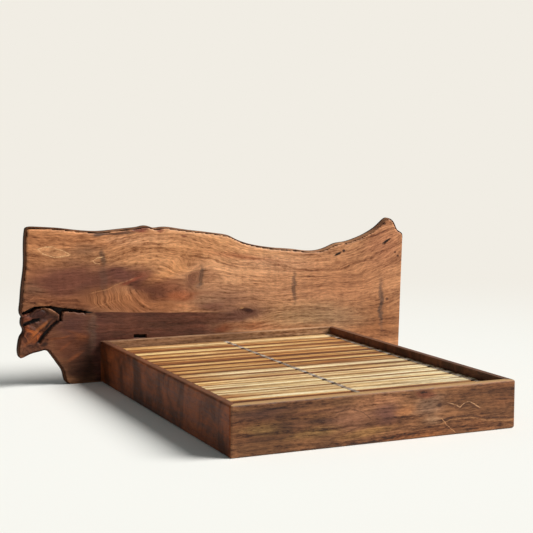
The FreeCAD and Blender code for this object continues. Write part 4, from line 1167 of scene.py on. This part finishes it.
def tape_cloth():
    material, tree, shader, place = new_material("tape_cloth", 0.9, Specular_IOR_Level=0.1)
    parts = axes(tree, place)
    weft = calc(tree, "SINE", times(tree, parts["Y"], 2 * math.pi / WEFT_PITCH))
    warp = calc(tree, "SINE", times(tree, parts["X"], 2 * math.pi / WARP_PITCH))
    weave = times(tree, weft, warp)
    soil = speckle(tree, place, (40, 18, 40))
    colour = graded(tree, soil, [(0.3, "8a7463"), (0.7, "b39d89")])
    along = minus(tree, parts["Y"], first_slat[1].y - slat_pitch)
    painted_shading = speckle(tree, place, (1, 7, 1), 1.0)
    painted_shading = span(tree, painted_shading, 0.40, 0.60, 0.25, 1.0)
    along = calc(tree, "MODULO", along, slat_pitch)
    # painted shade over each gap and painted highlight after it, unevenly strong along the tape
    for start, end, strength, code in TAPE_SHADE_AND_SHEEN:
        rise, fall = span(tree, along, *start), span(tree, along, *end, strength, 0.0)
        mask = times(tree, rise, fall)
        colour = dye(tree, times(tree, mask, painted_shading), colour, paint(code))
    colour = shaded(tree, colour, span(tree, weave, -1.0, 1.0, 0.88, 1.04))
    tree.links.new(colour, shader.inputs["Base Color"])
    roughen(tree, shader, weave, 0.0003)
    return material


def make_tape(node, material):
    low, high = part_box(node)
    bm = bmesh.new()
    bmesh.ops.create_grid(bm, x_segments=TAPE_COLUMNS, y_segments=TAPE_ROWS, size=0.5)
    length = high.y - low.y
    middle = (low + high) / 2
    size = (high.x - low.x, length, 1, 1)
    place = Matrix.Translation((middle.x, middle.y, low.z)) @ Matrix.Diagonal(size)
    bmesh.ops.transform(bm, matrix=place, verts=bm.verts)
    for vert in bm.verts:
        vert.co.z -= tape_dip(vert.co.y)
    skin = bmesh.ops.extrude_face_region(bm, geom=bm.faces[:])
    top = [item for item in skin["geom"] if isinstance(item, bmesh.types.BMVert)]
    bmesh.ops.translate(bm, verts=top, vec=(0, 0, high.z - low.z))
    bmesh.ops.recalc_face_normals(bm, faces=bm.faces)
    piece = finish_piece(node + "_tape", bm, material, "slat_roll", [node])


tape_material = tape_cloth()
for name in ("webbing_left", "webbing_centre", "webbing_right"):
    make_tape(name, tape_material)
dress(["webbing_staples"], zinc)


# Floor, light and camera
# A pale seamless floor that fades into the wall, one broad soft light from the right
# and a pale room round it. The camera stands low at the foot, left of the bed.
FLOOR_TONE = "f1efe8"
WALL_TONE = "f1ede4"
FLOOR_REACH = 60.0
FADE_START = 1.2
FADE_END = 7.2
SUN_FROM = (0.902, -0.431)
SUN_HEIGHT = math.radians(43)
SUN_SPREAD = math.radians(34)
SUN_STRENGTH = 4.32
ROOM_STRENGTH = 0.18
ROOM_TINT = (0.86, 0.97, 1.0, 1.0)
CAMERA_PLACE = (-3.128, -6.6305, 1.537)
CAMERA_YAW = math.radians(24.169)
CAMERA_PITCH = math.radians(5.792)
CAMERA_ROLL = math.radians(0.083)
CAMERA_LENS = 86.17

bm = bmesh.new()
bmesh.ops.create_circle(bm, cap_ends=True, segments=96, radius=FLOOR_REACH)
material, tree, shader, place = new_material("pale_floor", 0.9)
floor = new_object("floor", new_mesh("floor", bm, material))
shader.inputs["Base Color"].default_value = paint(FLOOR_TONE)
distance = put(tree, "VectorMath", place, operation="LENGTH").outputs["Value"]
rays = tree.nodes.new("ShaderNodeLightPath")
seen = calc(tree, "MAXIMUM", rays.outputs["Is Camera Ray"], rays.outputs["Is Glossy Ray"])
fade = times(tree, span(tree, distance, FADE_START, FADE_END), seen)
far_floor = put(tree, "Emission", paint(WALL_TONE), 1.0)
blend = put(tree, "MixShader", fade, shader.outputs[0], far_floor.outputs[0])
tree.links.new(blend.outputs[0], tree.nodes["Material Output"].inputs["Surface"])

world = bpy.data.worlds.new("pale_room")
world.use_nodes = True
bpy.context.scene.world = world
tree = world.node_tree
background = tree.nodes["Background"]
background.inputs["Color"].default_value = ROOM_TINT
background.inputs["Strength"].default_value = ROOM_STRENGTH
wall = put(tree, "Background", paint(WALL_TONE), 1.0)
direct = tree.nodes.new("ShaderNodeLightPath").outputs["Is Camera Ray"]
blend = put(tree, "MixShader", direct, background.outputs[0], wall.outputs[0])
tree.links.new(blend.outputs[0], tree.nodes["World Output"].inputs["Surface"])

lamp = bpy.data.lights.new("soft_key", "SUN")
lamp.energy = SUN_STRENGTH
lamp.angle = SUN_SPREAD
key = new_object("soft_key", lamp)
towards = Vector((
    SUN_FROM[0] * math.cos(SUN_HEIGHT), SUN_FROM[1] * math.cos(SUN_HEIGHT), math.sin(SUN_HEIGHT),
))
key.rotation_euler = towards.to_track_quat("Z", "Y").to_euler()

camera_data = bpy.data.cameras.new("camera")
camera_data.lens = CAMERA_LENS
camera_data.sensor_width = 36.0
camera = new_object("camera", camera_data)
camera.matrix_world = (
    Matrix.Translation(CAMERA_PLACE)
    @ Matrix.Rotation(-CAMERA_YAW, 4, "Z")
    @ Matrix.Rotation(math.pi / 2 - CAMERA_PITCH, 4, "X")
    @ Matrix.Rotation(CAMERA_ROLL, 4, "Z")
)
bpy.context.scene.camera = camera
bpy.context.scene.view_settings.view_transform = "Standard"
